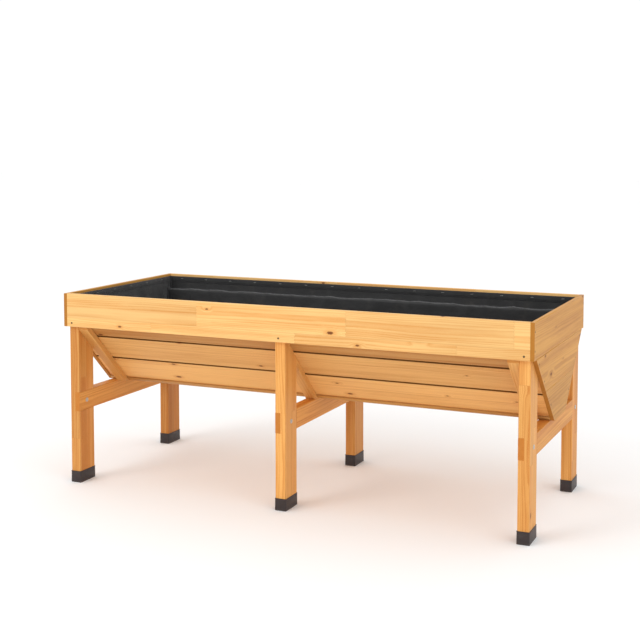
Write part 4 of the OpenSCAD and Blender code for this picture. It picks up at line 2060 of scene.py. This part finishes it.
    def _staple(self) -> bpy.types.Object:
        """One staple: a flat crown with its legs bent into the cloth."""
        crown, wide, thick = 5.2 * MM, 0.65 * MM, 0.35 * MM
        path = (
            (-crown, -1.2 * MM),
            (-crown, 0.15 * MM),
            (-crown + 0.5 * MM, 0.5 * MM),
            (crown - 0.5 * MM, 0.5 * MM),
            (crown, 0.15 * MM),
            (crown, -1.2 * MM),
        )
        quarter = math.pi / 2
        turns = (quarter, quarter, quarter / 2, -quarter / 2, -quarter, -quarter)
        rings = []
        for index, (x, z) in enumerate(path):
            turn = turns[index]
            out_x, out_z = -math.sin(turn), math.cos(turn)
            rings.append(
                [
                    (x + out_x * side_t * thick, side_w * wide, z + out_z * side_t * thick)
                    for side_w, side_t in (
                        (-1, -1), (1, -1), (1.15, 0), (1, 1), (-1, 1), (-1.15, 0),
                    )
                ]
            )
        return loft("staple_part", rings, 50.0)

    def _stitch(self) -> bpy.types.Object:
        """One stitch of thread, low and rounded, along its own X."""
        nose, shoulder, middle = (1.7, 0.15), (1.4, 0.32), (0.5, 0.42)
        far_half = (middle, shoulder, nose)
        near_half = [(-x, size) for x, size in reversed(far_half)]
        rings = []
        for x, size in (*near_half, *far_half):
            rings.append(
                [
                    (
                        x * MM,
                        size * 0.9 * MM * math.cos(math.pi * k / 3),
                        size * 0.7 * MM * math.sin(math.pi * k / 3),
                    )
                    for k in range(6)
                ]
            )
        return loft("stitch_part", rings, 80.0)

    def build(self) -> None:
        """Builds the cloth, its hem, tapes, stitches and staples."""
        finish = self.finishes
        cloth, hem, tapes = self._panels(), self._band(), self._tapes()
        stitches = Repeater(
            "hem_stitches",
            self._stitch(),
            self._edge_places(5.6 * MM, self.hem - 3.2 * MM, 1.35 * MM),
            finish.thread,
            spin=0.0,
            seed=21,
        ).build()
        staples = Repeater(
            "rim_staples",
            self._staple(),
            self._edge_places(self.staple_pitch, 9 * MM, 1.4 * MM),
            finish.staple,
            spin=0.12,
            seed=22,
        ).build()
        hand_over(cloth, finish.cloth, ["liner"])
        hand_over(hem, finish.cloth, [])
        hand_over(tapes, finish.tape, [])
        hand_over(stitches, None, [])
        hand_over(staples, None, [])
        supports = [f"slat_{r}_{level}" for r in Row for level in ("low", "mid", "top")]
        supports += [f"base_board_{r}" for r in Row]


# --------------------------------------------------------------------------
# Studio
# --------------------------------------------------------------------------


@dataclass
class Studio:
    """A pale floor, soft light and the camera."""

    finishes: Finishes
    place: tuple[float, float, float] = (1.77487, -3.99483, 1.28238)
    yaw: float = 24.085
    pitch: float = 3.849
    lens: float = 65.87
    shift: float = -0.15
    sky: float = 1.04
    light_side: float = 3.0
    key_power: float = 98.0
    fill_power: float = 14.0
    aim_height: float = 0.4

    def build(self) -> None:
        """Builds the camera, lights and floor."""
        self._camera()
        self._light("key", (-3.4, -5.2, 4.6), self.key_power)
        self._light("fill", (4.6, -2.6, 2.4), self.fill_power)
        self._world()
        self._floor()
        bpy.context.scene.view_settings.view_transform = "Standard"

    def _camera(self) -> None:
        """Sets up the camera."""
        data = bpy.data.cameras.new("camera")
        data.sensor_width, data.lens, data.shift_y = 36.0, self.lens, self.shift
        data.clip_end = 200.0
        camera = bpy.data.objects.new("camera", data)
        camera.location = self.place
        camera.rotation_euler = (math.radians(90 - self.pitch), 0.0, math.radians(self.yaw))
        bpy.context.scene.collection.objects.link(camera)
        bpy.context.scene.camera = camera

    def _light(self, name: str, place: tuple[float, float, float], power: float) -> None:
        """Adds a soft white square light that looks at the planter.

        Args:
            name: its name.
            place: where it stands.
            power: its power in watts.
        """
        data = bpy.data.lights.new(name, "AREA")
        data.shape, data.size, data.energy = "SQUARE", self.light_side, power
        light = bpy.data.objects.new(name, data)
        light.location = place
        aim = Vector((0, 0, self.aim_height)) - Vector(place)
        light.rotation_euler = aim.to_track_quat("-Z", "Y").to_euler()
        bpy.context.scene.collection.objects.link(light)

    def _world(self) -> None:
        """A plain white sky."""
        world = bpy.data.worlds.new("studio")
        world.use_nodes = True
        shade = world.node_tree.nodes["Background"]
        shade.inputs["Color"].default_value = (1, 1, 1, 1)
        shade.inputs["Strength"].default_value = self.sky
        bpy.context.scene.world = world

    def _floor(self) -> None:
        """A wide plain floor just under the boots."""
        work = bmesh.new()
        bmesh.ops.create_grid(work, x_segments=4, y_segments=4, size=40.0)
        floor = from_bmesh("studio_floor", work)
        floor.data.materials.append(self.finishes.floor)


def main() -> None:
    """Builds the planter and its studio."""
    logging.basicConfig(level=logging.INFO, format="%(name)s %(message)s")
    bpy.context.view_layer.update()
    finishes = Finishes()
    layout = Layout.read()
    Studio(finishes).build()
    screws = WoodScrews(layout, finishes)
    Stand(layout, finishes).build()
    Rim(finishes, screws).build()
    Trough(layout, finishes, screws).build()
    Boots(finishes).build()
    BarBolts(layout, finishes).build()
    screws.build()
    Liner(layout, finishes).build()
    bpy.context.view_layer.update()


if __name__ == "__main__":
    main()
